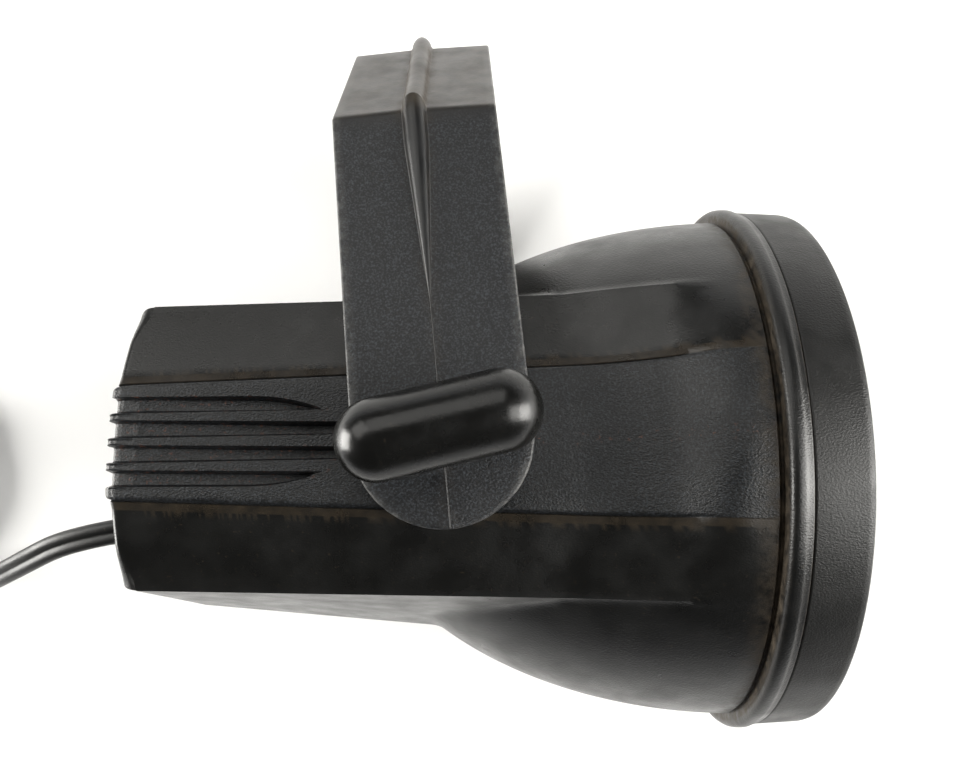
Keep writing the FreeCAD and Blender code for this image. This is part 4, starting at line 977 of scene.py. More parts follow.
def build_plug():
    """Two-blade plug: a rounded body with finger grooves and a ribbed tail."""
    low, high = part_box("plug_body")
    middle_x, middle_z = (low.x + high.x) / 2, (low.z + high.z) / 2
    half_x, half_z = (high.x - low.x) / 2, (high.z - low.z) / 2
    long = high.y - low.y
    rows = []
    sides = 56
    # along the plug, then the shares of its half width and half height, and how square it is
    stations = [(0.0, 0.30, 0.62, 0.0), (0.02, 0.33, 0.66, 0.0)]
    ribs = 4
    for i in range(ribs * 6):
        t = i / (ribs * 6)
        dent = 0.035 if (t * ribs) % 1.0 > 0.55 else 0.0
        stations.append((0.03 + 0.24 * t, 0.33 + 0.16 * t - dent, 0.66 + 0.14 * t - dent * 2, 0.1))
    stations += [(0.28, 0.55, 0.84, 0.3), (0.30, 0.68, 0.90, 0.5), (0.33, 0.80, 0.95, 0.7),
                 (0.38, 0.88, 0.98, 0.8), (0.48, 0.86, 0.97, 0.85), (0.6, 0.84, 0.96, 0.85),
                 (0.72, 0.88, 0.97, 0.85), (0.84, 0.97, 1.0, 0.85), (0.93, 1.0, 1.0, 0.85),
                 (0.975, 0.985, 0.985, 0.85), (0.993, 0.955, 0.955, 0.85), (1.0, 0.90, 0.90, 0.85)]
    for t, wide, high_share, square in stations:
        power = 2 / (2 + 4.0 * square)
        ring = []
        for cx, cz in circle(sides):
            ring.append(((middle_x + half_x * wide * math.copysign(abs(cx) ** power, cx)) / MM,
                         (low.y + long * t) / MM,
                         (middle_z + half_z * high_share * math.copysign(abs(cz) ** power, cz)) / MM))
        rows.append(ring)
    return shaped("plug_body", np.array(rows).reshape(-1, 3), capped_faces(len(rows), sides), FLOOR, 50.0)


def build_tie(c):
    """A flat tie round one side of the coil."""
    middle = (c.coil_outer + c.coil_inner) / 2
    half_r = (c.coil_outer - c.coil_inner) / 2 + 0.7
    half_z = c.coil_height / 2 + 0.35
    wide = 3.4
    rows = []
    sides = 40
    for off, grow in ((-wide / 2, 0.0), (-wide / 2, 0.7), (wide / 2, 0.7), (wide / 2, 0.0)):
        ring = []
        for cr, cz in circle(sides):
            r = middle + (half_r + grow) * math.copysign(abs(cr) ** 0.45, cr)
            z = half_z + 0.1 + (half_z + grow) * math.copysign(abs(cz) ** 0.45, cz)
            ring.append((r, off, max(z, 0.05)))
        rows.append(ring)
    points = np.array(rows + [rows[0]]).reshape(-1, 3)
    turn = math.radians(c.tie)
    spots = np.column_stack([c.coil_x + points[:, 0] * math.cos(turn) - points[:, 1] * math.sin(turn),
                             c.coil_y + points[:, 0] * math.sin(turn) + points[:, 1] * math.cos(turn),
                             points[:, 2]])
    return shaped("cord_tie", spots, grid_faces(5, sides, closed=True), FLOOR, 50.0)


# ---- what repeats ----------------------------------------------------------------------------------
def repeated(name, template, places, material):
    """The template copied to each place by geometry nodes, then made one plain mesh.

    Places are points of the frame in metres. The template's own place is left out, not its turn.
    """
    tree = bpy.data.node_groups.new(name, "GeometryNodeTree")
    face = tree.interface
    face.new_socket("Geometry", in_out="INPUT", socket_type="NodeSocketGeometry")
    piece = face.new_socket("Piece", in_out="INPUT", socket_type="NodeSocketObject")
    scale = face.new_socket("Size", in_out="INPUT", socket_type="NodeSocketFloat")
    finish = face.new_socket("Material", in_out="INPUT", socket_type="NodeSocketMaterial")
    face.new_socket("Geometry", in_out="OUTPUT", socket_type="NodeSocketGeometry")
    given = tree.nodes.new("NodeGroupInput").outputs
    info = put(tree, "GeometryNodeObjectInfo", {"Object": given["Piece"]})
    copies = put(tree, "GeometryNodeInstanceOnPoints", {"Points": given["Geometry"],
                                                        "Instance": info.outputs["Geometry"],
                                                        "Scale": given["Size"]})
    real = put(tree, "GeometryNodeRealizeInstances", {"Geometry": copies.outputs["Instances"]})
    dressed = put(tree, "GeometryNodeSetMaterial", {"Geometry": real.outputs["Geometry"],
                                                    "Material": given["Material"]})
    put(tree, "NodeGroupOutput", {0: dressed.outputs["Geometry"]})
    mesh = bpy.data.meshes.new(name)
    mesh.from_pydata([tuple(p) for p in places], [], [])
    thing = bpy.data.objects.new(name, mesh)
    bpy.context.scene.collection.objects.link(thing)
    nodes = thing.modifiers.new("repeat", "NODES")
    nodes.node_group = tree
    nodes[piece.identifier] = template
    nodes[scale.identifier] = 1.0
    nodes[finish.identifier] = material
    plain_mesh(thing)
    bpy.data.objects.remove(template)
    return thing


# ---- halves, screws and ribs -----------------------------------------------------------------------
CASE_SCREWS = ((-56.0, 24.0), (-16.0, 31.0), (46.0, 51.0))  # x and y, each with its mirror in y
BOSS = 4.4              # radius of the bosses that the screws run in
HEAD_SEAT = 12.0        # depth of the screw heads' seat from the seam
WELL = 3.2              # radius of the wells that the screw heads lie in
GRIP_RIBS = (26.0, 55.5, 3.0)   # heights on the arms from the first rib to past the last, and their pitch


def screw_places():
    return [(x, turn * y) for x, y in CASE_SCREWS for turn in (-1, 1)]


def wall_height(s, x, z):
    """Height of the middle of the moulded wall, at a place along the beam and out from the seam."""
    share = min(z / s.edge_z, 1.0)
    mid, edge = s.mid + s.mid_slope * (x - s.rear), s.edge + s.edge_slope * (x - s.rear)
    on_box = mid + (edge - mid) * share if z < s.edge_z - 1.2 else 0.0
    on_bell = math.sqrt(max(float(bell_radius(s, x)) ** 2 - z * z, 0.0))
    return max(on_box, on_bell) - 0.5 * s.wall


def screw_boss(s, x, y, side):
    """A screw's boss, from the seam out into the wall, pressed flat where it would come through."""
    turns, rows = 32, []
    clear, step, bite = 0.06, 1.0, 0.8      # gap at the seam, between the rings, and least overlap
    for z in np.arange(clear, s.strip_z, step):
        if wall_height(s, x, z) < abs(y) - BOSS + bite:
            break
        rows.append([])
        for ahead, high in circle(turns):
            along, up = x + BOSS * ahead, abs(y) + BOSS * high
            rows[-1].append((along, math.copysign(min(up, wall_height(s, along, z)), y), side * z))
    return shaped("boss", np.array(rows).reshape(-1, 3), capped_faces(len(rows), turns))


def build_half(name, s, side):
    """A housing half with its screw bosses, and in the left one the wells of the screw heads."""
    shell = housing_shell(name, s, side)
    bosses = [screw_boss(s, x, y, side) for x, y in screw_places()]
    combined(shell, bosses, "UNION")
    if side < 0:
        wells = [rod("well", WELL, (x, y, -HEAD_SEAT), (x, y, -s.strip_z - 12), sides=40)
                 for x, y in screw_places()]
        combined(shell, wells, "DIFFERENCE")
    return shell


def case_screw():
    """A pan-head screw with a cross recess, standing at the origin with its head to the left."""
    outline = [(0.0, 0.0), (-10.0, 0.0), (-10.5, 1.0), (-10.0, 1.3), (0.0, 1.3), (0.0, 2.7), (0.35, 2.8),
               (1.0, 2.72), (1.5, 2.4), (1.85, 1.7), (2.0, 0.9), (2.0, 0.0)]
    turns, columns = 40, len(outline)
    rows = [[(r * across, r * up, -x) for x, r in outline] for across, up in circle(turns)]
    faces = grid_faces(turns, columns, closed=True)
    last = (turns - 1) * columns
    faces += [(last + j, last + (j + 1) % columns, (j + 1) % columns, j) for j in range(columns)]
    facing = LAMP.to_3x3().to_4x4()
    screw = shaped("case_screw", np.array(rows).reshape(-1, 3), faces, facing, 40.0)
    slots = []
    for long, wide in ((1.55, 0.36), (0.36, 1.55)):
        corners = [(x, y, z) for z in (-1.0, -3.0)
                   for x, y in ((-long, -wide), (long, -wide), (long, wide), (-long, wide))]
        slots.append(shaped("recess", np.array(corners), capped_faces(2, 4), facing))
    return combined(screw, slots, "DIFFERENCE")


def grip_rib():
    """One of the small ribs across the inner face of an arm, standing at the origin."""
    section = [(-0.55, 0.0), (-0.42, 0.5), (-0.18, 0.78), (0.18, 0.78), (0.42, 0.5), (0.55, 0.0),
               (0.4, -0.4), (-0.4, -0.4)]
    rows = [[(x, y * k, z * k) for y, z in section] for x, k in
            ((-13.2, 0.35), (-12.9, 0.8), (-12.3, 1.0), (12.3, 1.0), (12.9, 0.8), (13.2, 0.35))]
    return np.array(rows).reshape(-1, 3), capped_faces(len(rows), len(section))


def build_grip_ribs(s, material):
    """Small ribs on the inner faces of both arms, between the pivot and the bevel."""
    facing = LAMP.to_3x3().to_4x4()
    made = []
    for side in (1, -1):
        points, faces = grip_rib()
        points = points * (1, 1, -side)
        template = shaped("grip_rib", lean(s, points), faces, facing, 50.0)
        spots = lean(s, [(0.0, y, side * (s.face - s.thick + 0.15)) for y in np.arange(*GRIP_RIBS)])
        name = "grip_ribs_right" if side > 0 else "grip_ribs_left"
        made.append(repeated(name, template, [in_frame(*p) for p in spots], material))
    return made


# ---- finishes --------------------------------------------------------------------------------------
PAINTED_GLINT_TIP = (0.14, 0.16, 0.19, 1.0)    # painted glints: a pale bluish tint on the tips of the moulded grain that stands for highlights
RUST_CRUMB = (0.075, 0.028, 0.016, 1.0)


def per_mm(size_mm):
    """Texture scale that gives one feature every so many millimetres."""
    return 1.0 / (size_mm * MM)


def patches(tree, size_mm, detail, rough, span, shares=(0.0, 1.0), marked=None):
    """How much of something lies at each point of a surface, in patches about size_mm across.

    The span of the noise is stretched over the two shares and held at both. If a value that the mesh
    carries at its points is named, what is found is multiplied by it.
    """
    place = put(tree, "ShaderNodeTexCoord").outputs["Object"]
    fine = put(tree, "ShaderNodeTexNoise", {"Vector": place, "Scale": per_mm(size_mm), "Detail": detail,
                                            "Roughness": rough})
    held = put(tree, "ShaderNodeMapRange", {"Value": fine.outputs["Fac"],
                                            "From Min": span[0], "From Max": span[1],
                                            "To Min": shares[0], "To Max": shares[1]})
    if not marked:
        return held.outputs["Result"]
    mark = put(tree, "ShaderNodeAttribute", attribute_name=marked)
    return put(tree, "ShaderNodeMath", {0: mark.outputs["Fac"], 1: held.outputs["Result"]},
               operation="MULTIPLY").outputs[0]


def leather(tree, size_mm):
    """Height of a moulded leather grain: short slanted pebbles with fine valleys between them."""
    place = put(tree, "ShaderNodeTexCoord").outputs["Object"]
    laid = put(tree, "ShaderNodeMapping", {"Vector": place, "Rotation": (0.0, 0.0, math.radians(38.0)),
                                           "Scale": (1.0, 1.7, 1.0)})
    cells = put(tree, "ShaderNodeTexVoronoi", {"Vector": laid.outputs[0], "Scale": per_mm(size_mm),
                                               "Randomness": 1.0}, feature="F1")
    valleys = put(tree, "ShaderNodeTexNoise", {"Vector": place, "Scale": per_mm(size_mm * 0.7),
                                               "Detail": 2.0, "Roughness": 0.55})
    return put(tree, "ShaderNodeMath", {0: cells.outputs["Distance"], 1: valleys.outputs["Fac"]},
               operation="ADD").outputs[0]


def moulded(name, tint, rough, grain_mm, grain_deep, dust=None, grained=None, marks=(), dusty=0.25,
            worn=None, glints=0.0):
    """An injection-moulded plastic: faint clouding, moulded grain, settled dust and rubbed edges.

    grained is the second tint, on the parts that the mesh marks as grained, and glints is how pale the
    painted glints on the tips of the grain are there: painted highlights. Marks are the point values that the mesh
    carries: dust for corners, bevel for the bevels, whose pale warm film is partly dust and partly painted sheen,
    and groove for the floors of the cooling grooves. A worn colour goes on the rubbed edges, by the mesh's value
    of that name.
    """
    material, tree = new_material(name)
    # slow clouding of the colour, about 25 mm across, as flow in the mould leaves it
    layers = [(patches(tree, 25.0, 4.0, 0.55, (0.35, 0.7)), rgba(tint, 1.22))]
    roughness = patches(tree, 8.0, 4.0, 0.55, (0.3, 0.7), (rough - 0.08, rough + 0.08))
    height = leather(tree, grain_mm)
    if grained:
        share = put(tree, "ShaderNodeAttribute", attribute_name="grain").outputs["Fac"]
        layers.append((share, rgba(grained)))
        # painted glints: the tips of the grain are painted pale, in points about 0.4 mm across, to stand for
        # highlights
        full = put(tree, "ShaderNodeMapRange", {"Value": share, "From Min": 0.35, "From Max": 1.0})
        tips = put(tree, "ShaderNodeMath", {0: patches(tree, 0.42, 1.0, 0.5, (0.46, 0.72), (0.0, glints)),
                                            1: full.outputs["Result"]}, operation="MULTIPLY")
        layers.append((tips.outputs[0], PAINTED_GLINT_TIP))
        # a grained part is rougher, and elsewhere the grain is a quarter as deep
        roughness = put(tree, "ShaderNodeMath", {0: share, 1: 0.12, 2: roughness},
                        operation="MULTIPLY_ADD").outputs[0]
        deep = put(tree, "ShaderNodeMapRange", {"Value": share, "To Min": 0.25, "To Max": 1.0})
        height = put(tree, "ShaderNodeMath", {0: height, 1: deep.outputs["Result"]},
                     operation="MULTIPLY").outputs[0]
    if dust:
        # loose specks, under a millimetre across
        layers.append((patches(tree, 0.8, 2.0, 0.6, (0.66, 0.74), (0.0, dusty)), rgba(dust, 1.1)))
    if "dust" in marks:
        settled = patches(tree, 2.4, 5.0, 0.65, (0.34, 0.66), marked="dust")
        layers.append((settled, rgba(dust, 0.55)))
        roughness = put(tree, "ShaderNodeMath", {0: settled, 1: 0.3, 2: roughness},
                        operation="MULTIPLY_ADD").outputs[0]
    if "bevel" in marks:
        # a pale warm film on the bevels: partly settled dust, partly a painted sheen where they face the light
        layers.append((patches(tree, 3.0, 4.0, 0.55, (0.3, 0.8), (0.12, 0.5), "bevel"), rgba(dust, 0.62)))
    if "groove" in marks:
        # rust-red crumbs that have washed into the grooves
        layers.append((patches(tree, 0.9, 3.0, 0.6, (0.60, 0.68), (0.0, 0.75), "groove"), RUST_CRUMB))
    if worn:
        layers.append((patches(tree, 2.0, 3.0, 0.55, (0.40, 0.62), (0.1, 0.7), "worn"), rgba(worn, 0.5)))
    tone = rgba(tint, 0.86)
    for share, over in layers:
        tone = put(tree, "ShaderNodeMix", {0: share, 6: tone, 7: over}, data_type="RGBA").outputs[2]
    bump = put(tree, "ShaderNodeBump", {"Height": height, "Strength": 1.0, "Distance": grain_deep * MM})
    shader = put(tree, "ShaderNodeBsdfPrincipled", {"Base Color": tone, "Roughness": roughness,
                                                    "Normal": bump.outputs[0], "IOR": 1.5})
    put(tree, "ShaderNodeOutputMaterial", {0: shader.outputs[0]})
    return material


def metal(name, tint, rough, grain_mm, stretch=(1.0, 1.0, 1.0)):
    """A metal with a drawn, cast or plated surface; the default IOR stays."""
    material, tree = new_material(name)
    place = put(tree, "ShaderNodeTexCoord").outputs["Object"]
    laid = put(tree, "ShaderNodeMapping", {"Vector": place, "Scale": stretch})
    fine = put(tree, "ShaderNodeTexNoise", {"Vector": laid.outputs[0], "Scale": per_mm(grain_mm),
                                            "Detail": 4.0, "Roughness": 0.6}).outputs["Fac"]
    pale, polish = (put(tree, "ShaderNodeMapRange", {"Value": fine, "From Min": 0.3, "From Max": 0.7,
                                                     "To Min": low, "To Max": high}).outputs["Result"]
                    for low, high in ((0.0, 1.0), (rough - 0.10, rough + 0.10)))
    bump = put(tree, "ShaderNodeBump", {"Height": fine, "Strength": 0.6, "Distance": 0.004 * MM})
    tone = put(tree, "ShaderNodeMix", {0: pale, 6: rgba(tint, 0.82), 7: rgba(tint)}, data_type="RGBA")
    shader = put(tree, "ShaderNodeBsdfPrincipled", {"Base Color": tone.outputs[2], "Metallic": 1.0,
                                                    "Normal": bump.outputs[0], "Roughness": polish})
    put(tree, "ShaderNodeOutputMaterial", {0: shader.outputs[0]})
    return material


def clear_plastic(name, tint, rough, haze_mm):
    """Clear moulded polycarbonate or acrylic: nearly smooth, with a trace of haze from handling."""
    material, tree = new_material(name)
    haze = patches(tree, haze_mm, 4.0, 0.6, (0.3, 0.7))
    tone = put(tree, "ShaderNodeMix", {0: haze, 6: rgba(tint), 7: rgba(tint, 0.97)}, data_type="RGBA")
    shader = put(tree, "ShaderNodeBsdfPrincipled", {
        "Base Color": tone.outputs[2], "IOR": 1.58, "Transmission Weight": 1.0,
        "Roughness": patches(tree, haze_mm, 4.0, 0.6, (0.45, 0.75), (rough, rough + 0.09))})
    put(tree, "ShaderNodeOutputMaterial", {0: shader.outputs[0]})
    return material


def colour_disc(name):
    """Clear acrylic disc with broad stained sectors, plain red, green and blue in turn."""
    material, tree = new_material(name)
    axes = LAMP.inverted()
    place = put(tree, "ShaderNodeTexCoord").outputs["Object"]
    centred = put(tree, "ShaderNodeMapping", {"Vector": place, "Location": axes.translation,
                                              "Rotation": axes.to_euler()}, vector_type="POINT")
    parts = put(tree, "ShaderNodeSeparateXYZ", {"Vector": centred.outputs[0]})
    turn = put(tree, "ShaderNodeMath", {0: parts.outputs["Y"], 1: parts.outputs["Z"]}, operation="ARCTAN2")
    # six sectors to a turn, counted from 0 and folded into three stains
    for operation, value in (("MULTIPLY", 6 / (2 * math.pi)), ("ADD", 3.0), ("MODULO", 3.0), ("DIVIDE", 3.0)):
        turn = put(tree, "ShaderNodeMath", {0: turn.outputs[0], 1: value}, operation=operation)
    ramp = put(tree, "ShaderNodeValToRGB", {"Fac": turn.outputs[0]})
    ramp.color_ramp.interpolation = "CONSTANT"
    ramp.color_ramp.elements[0].color = rgba(linear("#c8452f"))
    ramp.color_ramp.elements[1].position = 0.667
    ramp.color_ramp.elements[1].color = rgba(linear("#2f63c4"))
    ramp.color_ramp.elements.new(0.333).color = rgba(linear("#3c9a52"))
    faded = patches(tree, 6.0, 3.0, 0.55, (0.3, 0.7), (0.0, 0.12))
    tone = put(tree, "ShaderNodeMix", {0: faded, 6: ramp.outputs[0], 7: (1.0, 1.0, 1.0, 1.0)},
               data_type="RGBA")
    shader = put(tree, "ShaderNodeBsdfPrincipled", {"Base Color": tone.outputs[2], "IOR": 1.49,
                                                    "Roughness": 0.08, "Transmission Weight": 0.85})
    put(tree, "ShaderNodeOutputMaterial", {0: shader.outputs[0]})
    return material


def all_finishes(f):
    """Every finish by the name of its material slot, with the pattern disc's beside them."""
    return {
        # moulded ABS: a satin skin, with a pebbled grain on the strips whose tips carry painted glints;
        # a real grain would be near 0.4 mm, and it is drawn at 0.55 mm to show
        "housing_plastic": moulded("moulded_abs_shell", f.shell, 0.30, 0.55, 0.06, f.dust, f.grain,
                                   ("dust", "groove", "bevel"), 0.10, glints=0.13),
        # the same ABS with the grain all over, so it looks duller than the shell
        "ring_plastic": moulded("grained_abs_ring", f.ring, 0.44, 0.5, 0.04, f.dust, dusty=0.08),
        # glass-filled nylon: dull, with painted glints on the grain tips, pale dust specks and rubbed outer edges
        "yoke_plastic": moulded("glass_filled_nylon_yoke", f.yoke, 0.36, 0.55, 0.055, f.dust, f.yoke,
                                ("dust", "bevel"), 0.10, f.worn, glints=0.18),
        # ABS from a polished mould: a soft sheen
        "knob_plastic": moulded("satin_abs_knob", f.knob, 0.26, 1.1, 0.008, f.dust, dusty=0.12),
        # clear moulded polycarbonate, a little hazed
        "clear_lens": clear_plastic("clear_polycarbonate", (0.96, 0.97, 0.96), 0.02, 9.0),
        # silicone rubber: dead matt, dusty
        "seal_rubber": moulded("matt_silicone_rubber", linear("#17181a"), 0.72, 1.4, 0.02, f.dust, dusty=0.4),
        # bright zinc plating: slightly blue, cloudy
        "zinc_steel": metal("zinc_plated_steel", linear("#b9bdc2"), 0.33, 0.9),
        # drawn steel motor can, brushed along its length
        "motor_metal": metal("drawn_steel_can", linear("#a6a6a4"), 0.30, 0.6, (0.15, 1.0, 1.0)),
        # extruded aluminium with lines along the fins
        "sink_aluminium": metal("extruded_aluminium", linear("#c4c6c8"), 0.40, 0.5, (0.1, 1.0, 1.0)),
        # black ABS inner parts, eroded matt to swallow stray light
        "inner_plastic": moulded("eroded_black_abs", linear("#191919"), 0.62, 0.9, 0.03, f.dust, dusty=0.1),
        # white solder mask over a circuit board: smooth and faintly glossy
        "board_white": moulded("white_solder_mask", linear("#dfe1dc"), 0.34, 1.2, 0.006),
        "board_green": moulded("green_solder_mask", linear("#1d5c36"), 0.34, 1.2, 0.006),
        # moulded epoxy component bodies
        "component_body": moulded("moulded_epoxy", linear("#26272a"), 0.5, 0.7, 0.01),
        # phosphor in clear silicone, a warm yellow dome
        "emitter": moulded("yellow_phosphor", linear("#d9c94f"), 0.28, 1.0, 0.004),
        "lead_insulation": moulded("extruded_pvc_leads", linear("#a8342c"), 0.38, 1.5, 0.008),
        # soft PVC jacket: dull black with a waxy sheen, dust along it
        "cord_pvc": moulded("extruded_pvc_jacket", f.cord, 0.46, 1.3, 0.02, f.dust, dusty=0.3),
        # polythene tie, slightly glossy
        "tie_plastic": moulded("polythene_tie", linear("#1a1a1b"), 0.36, 1.6, 0.01, f.dust, dusty=0.15),
        # nickel-plated brass blades: pale warm metal with drawn lines
        "blade_brass": metal("nickel_plated_brass", linear("#c9c2ae"), 0.24, 0.7, (1.0, 0.12, 1.0)),
        "pattern_disc": colour_disc("stained_acrylic_disc"),
    }


# ---- stage -----------------------------------------------------------------------------------------
FLOOR_HALF = 3.0                        # metres
SOFT_TINT = (1.0, 0.985, 0.945)         # colour of every soft light, a little warm
SOFT_SIDE = 0.55                        # side of their squares and their distance from the lamp, in metres
SOFT_FAR = 1.0
AIM = Vector((0.0, 0.0, 0.06))          # what they face
CAMERA_PLACE = (0.03622, 0.02757, 0.28955)
CAMERA_BACK = Vector((0.1642, 0.1370, 0.9769)).normalized()
CAMERA_UP = Vector((-0.0159, 0.9906, -0.1362))


def build_floor():
    """A plain pale sweep under the lamp and its cord."""
    half = FLOOR_HALF
    mesh = bpy.data.meshes.new("floor")
    mesh.from_pydata([(-half, -half, 0), (half, -half, 0), (half, half, 0), (-half, half, 0)], [],
                     [(0, 1, 2, 3)])
    floor = bpy.data.objects.new("floor", mesh)
    bpy.context.scene.collection.objects.link(floor)
    # matt white paper: even, with a faint mottle about 80 mm across
    material, tree = new_material("white_paper_sweep")
    mottle = patches(tree, 80.0, 2.0, 0.55, (0.3, 0.7))
    # further out the paper is lit from behind, so it stays pale to its edges
    place = put(tree, "ShaderNodeTexCoord").outputs["Object"]
    away = put(tree, "ShaderNodeVectorMath", {0: place}, operation="LENGTH").outputs["Value"]
    glow = put(tree, "ShaderNodeMapRange", {"Value": away, "From Min": 0.6, "From Max": 1.5,
                                            "To Min": 0.0, "To Max": 0.9}).outputs["Result"]
    tone = put(tree, "ShaderNodeMix", {0: mottle, 6: (0.93, 0.93, 0.93, 1.0), 7: (0.95, 0.95, 0.95, 1.0)},
               data_type="RGBA")
    shader = put(tree, "ShaderNodeBsdfPrincipled", {
        "Base Color": tone.outputs[2], "Emission Color": (1.0, 1.0, 1.0, 1.0), "Emission Strength": glow,
        "Roughness": 0.9, "Specular IOR Level": 0.0})
    put(tree, "ShaderNodeOutputMaterial", {0: shader.outputs[0]})
    mesh.materials.append(material)


def build_sky(strength):
    """Studio surround: a dim ceiling over a low pale wall."""
    world = bpy.data.worlds.new("studio")
    bpy.context.scene.world = world
    world.use_nodes = True
    tree = world.node_tree
    tree.nodes.clear()
    around = put(tree, "ShaderNodeTexCoord").outputs["Generated"]
    height = put(tree, "ShaderNodeSeparateXYZ", {"Vector": around}).outputs["Z"]
    wall = put(tree, "ShaderNodeMapRange", {"Value": height, "From Min": 0.02, "From Max": 0.22,
                                            "To Min": 1.0, "To Max": 0.0}).outputs["Result"]
    tone = put(tree, "ShaderNodeMix", {0: wall, 6: (0.07, 0.07, 0.07, 1.0), 7: (0.75, 0.75, 0.75, 1.0)},
               data_type="RGBA")
    light = put(tree, "ShaderNodeBackground", {"Color": tone.outputs[2], "Strength": strength})
    put(tree, "ShaderNodeOutputWorld", {0: light.outputs[0]})


def soft_light(name, around, up, watts):
    """A square soft light that faces the lamp, at degrees round it from +X and up from the floor."""
    light = bpy.data.lights.new(name, "AREA")
    light.size, light.energy, light.color = SOFT_SIDE, watts, SOFT_TINT
    holder = bpy.data.objects.new(name, light)
    bpy.context.scene.collection.objects.link(holder)
    a, e = math.radians(around), math.radians(up)
    direction = Vector((math.cos(e) * math.cos(a), math.cos(e) * math.sin(a), math.sin(e)))
    holder.location = AIM + direction * SOFT_FAR
    holder.rotation_euler = direction.to_track_quat("Z", "Y").to_euler()


def build_camera(lens_mm):
    """The camera, over the lamp and looking down at it."""
    camera = bpy.data.cameras.new("camera")
    camera.sensor_width, camera.lens = 36.0, lens_mm
    camera.clip_start, camera.clip_end = 0.01, 20.0
    holder = bpy.data.objects.new("camera", camera)
    bpy.context.scene.collection.objects.link(holder)
    up = (CAMERA_UP - CAMERA_BACK * CAMERA_UP.dot(CAMERA_BACK)).normalized()
    holder.matrix_world = Matrix((up.cross(CAMERA_BACK), up, CAMERA_BACK)).transposed().to_4x4()
    holder.location = CAMERA_PLACE
    bpy.context.scene.camera = holder


# ---- operators -------------------------------------------------------------------------------------
_finish_cache = {}


def finishes():
    """The finishes, made once from the colours in the scene."""
    if not _finish_cache:
        _finish_cache.update(all_finishes(sizes("projector_finish")))
    return _finish_cache


class PROJECTOR_OT_cord(bpy.types.Operator):
    """Make the flat cord with its coil, strain relief, tie and plug"""
    bl_idname = "projector.cord"
    bl_label = "Cord and plug"

    def execute(self, context):
        s, c, skin = sizes("projector_housing"), sizes("projector_cord"), finishes()
        cord, line, exit_point = build_cord(c, s)
        cord.name = "mains_cord"
        relief, tie, plug = build_relief(c, s), build_tie(c), build_plug()
        relief.name, tie.name, plug.name = "cord_gland", "twist_tie", "plug_moulding"
        dress(relief, "lamp", skin["cord_pvc"], ["strain_relief"])
        dress(tie, "lamp", skin["tie_plastic"], ["cord_tie"])
        dress(plug, "lamp", skin["cord_pvc"], ["plug_body"])
        dress(cord, "lamp", skin["cord_pvc"], ["power_cord", "cord_coil", "cord_tail"])
        return {"FINISHED"}


class PROJECTOR_OT_housing(bpy.types.Operator):
    """Make the two housing halves and the screws that join them"""
    bl_idname = "projector.housing"
    bl_label = "Housing"

    def execute(self, context):
        s, skin = sizes("projector_housing"), finishes()
        for name, side, node in (("shell_right", 1, "housing_right"), ("shell_left", -1, "housing_left")):
            dress(build_half(name, s, side), "lamp", skin["housing_plastic"], [node])
        places = [in_frame(x, y, -HEAD_SEAT) for x, y in screw_places()]
        screws = repeated("case_screws", case_screw(), places, skin["zinc_steel"])
        dress(screws, "lamp", None, ["housing_screws"])
        return {"FINISHED"}


class PROJECTOR_OT_ring(bpy.types.Operator):
    """Make the front ring and the domed lens"""
    bl_idname = "projector.ring"
    bl_label = "Front ring and lens"

    def execute(self, context):
        s, r, skin = sizes("projector_housing"), sizes("projector_ring"), finishes()
        ring, lens = build_ring(s, r), build_lens(r)
        ring.name, lens.name = "rim_ring", "lens_dome"
        dress(ring, "lamp", skin["ring_plastic"], ["front_ring"])
        dress(lens, "lamp", skin["clear_lens"], ["front_lens"])
        return {"FINISHED"}


class PROJECTOR_OT_yoke(bpy.types.Operator):
    """Make the U-shaped yoke, its stake socket and the ribs inside its arms"""
    bl_idname = "projector.yoke"
    bl_label = "Yoke"

    def execute(self, context):
        s, skin = sizes("projector_yoke"), finishes()
        yoke = build_yoke(s)
        yoke.name = "yoke_moulding"
        dress(yoke, "yoke", skin["yoke_plastic"], ["yoke"])
        for ribs in build_grip_ribs(s, skin["yoke_plastic"]):
            dress(ribs, "yoke")
        return {"FINISHED"}


class PROJECTOR_OT_knobs(bpy.types.Operator):
    """Make the two knobs that clamp the yoke"""
    bl_idname = "projector.knobs"
    bl_label = "Knobs"

    def execute(self, context):
        s, skin = sizes("projector_knob"), finishes()
        for side, node in ((1, "knob_right"), (-1, "knob_left")):
            knob = combined(capsule(s, side), [neck(s, side)], "UNION")
            knob.name = "grip_" + node
            dress(knob, node, skin["knob_plastic"], [node])
        return {"FINISHED"}


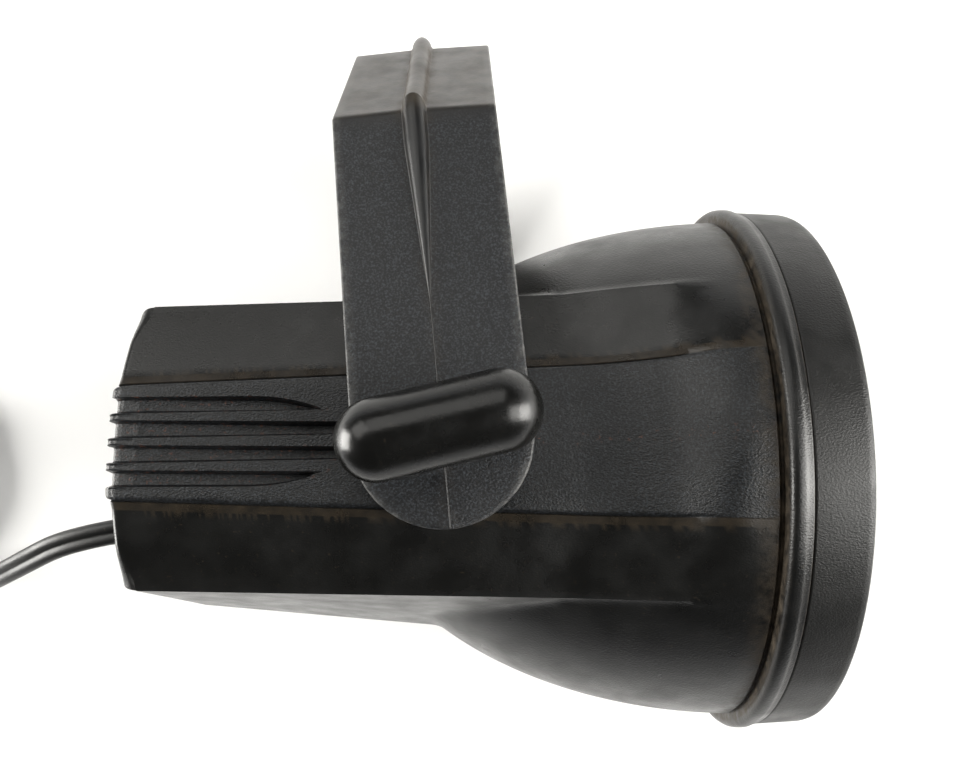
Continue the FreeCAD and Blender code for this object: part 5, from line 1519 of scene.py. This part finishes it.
class PROJECTOR_OT_inner_parts(bpy.types.Operator):
    """Give every carried-over part its real finish"""
    bl_idname = "projector.inner_parts"
    bl_label = "Inner parts"

    def execute(self, context):
        skin = finishes()
        for part in frame["record"]["subparts"]:
            thing = frame["nodes"][part["node"]]
            thing.data.materials.clear()
            thing.data.materials.append(skin.get(part["node"], skin[part["material_slot"]]))
        return {"FINISHED"}


class PROJECTOR_OT_stage(bpy.types.Operator):
    """Make the floor, the soft lights, the surround and the camera"""
    bl_idname = "projector.stage"
    bl_label = "Stage"

    def execute(self, context):
        s = sizes("projector_stage")
        context.scene.view_settings.view_transform = "Standard"
        build_floor()
        build_sky(s.sky)
        for name, around, up, watts in (("right_low", 0, 18, s.right_low),
                                        ("right_high", 0, 45, s.right_high),
                                        ("left_low", 180, 18, s.left_low),
                                        ("back_left", 135, 45, s.back_left), ("back", 90, 45, s.back)):
            soft_light(name, around, up, watts)
        build_camera(s.lens_mm)
        return {"FINISHED"}


OPERATORS = (PROJECTOR_OT_stage, PROJECTOR_OT_cord, PROJECTOR_OT_housing, PROJECTOR_OT_ring,
             PROJECTOR_OT_yoke, PROJECTOR_OT_knobs, PROJECTOR_OT_inner_parts)


class PROJECTOR_PT_panel(bpy.types.Panel):
    """Lists the pieces of the lamp"""
    bl_label = "Garden projector lamp"
    bl_idname = "PROJECTOR_PT_panel"
    bl_space_type = "VIEW_3D"
    bl_region_type = "UI"
    bl_category = "Projector lamp"

    def draw(self, context):
        for operator in OPERATORS:
            self.layout.operator(operator.bl_idname)


CLASSES = tuple(PROPERTY_GROUPS.values()) + OPERATORS + (PROJECTOR_PT_panel,)


def register():
    for group in CLASSES:
        bpy.utils.register_class(group)
    for name, group in PROPERTY_GROUPS.items():
        setattr(bpy.types.Scene, name, PointerProperty(type=group))


def unregister():
    for name in PROPERTY_GROUPS:
        delattr(bpy.types.Scene, name)
    for group in reversed(CLASSES):
        bpy.utils.unregister_class(group)


def main():
    register()
    for operator in OPERATORS:
        area, action = operator.bl_idname.split(".")
        getattr(getattr(bpy.ops, area), action)()


if __name__ == "__main__":
    main()
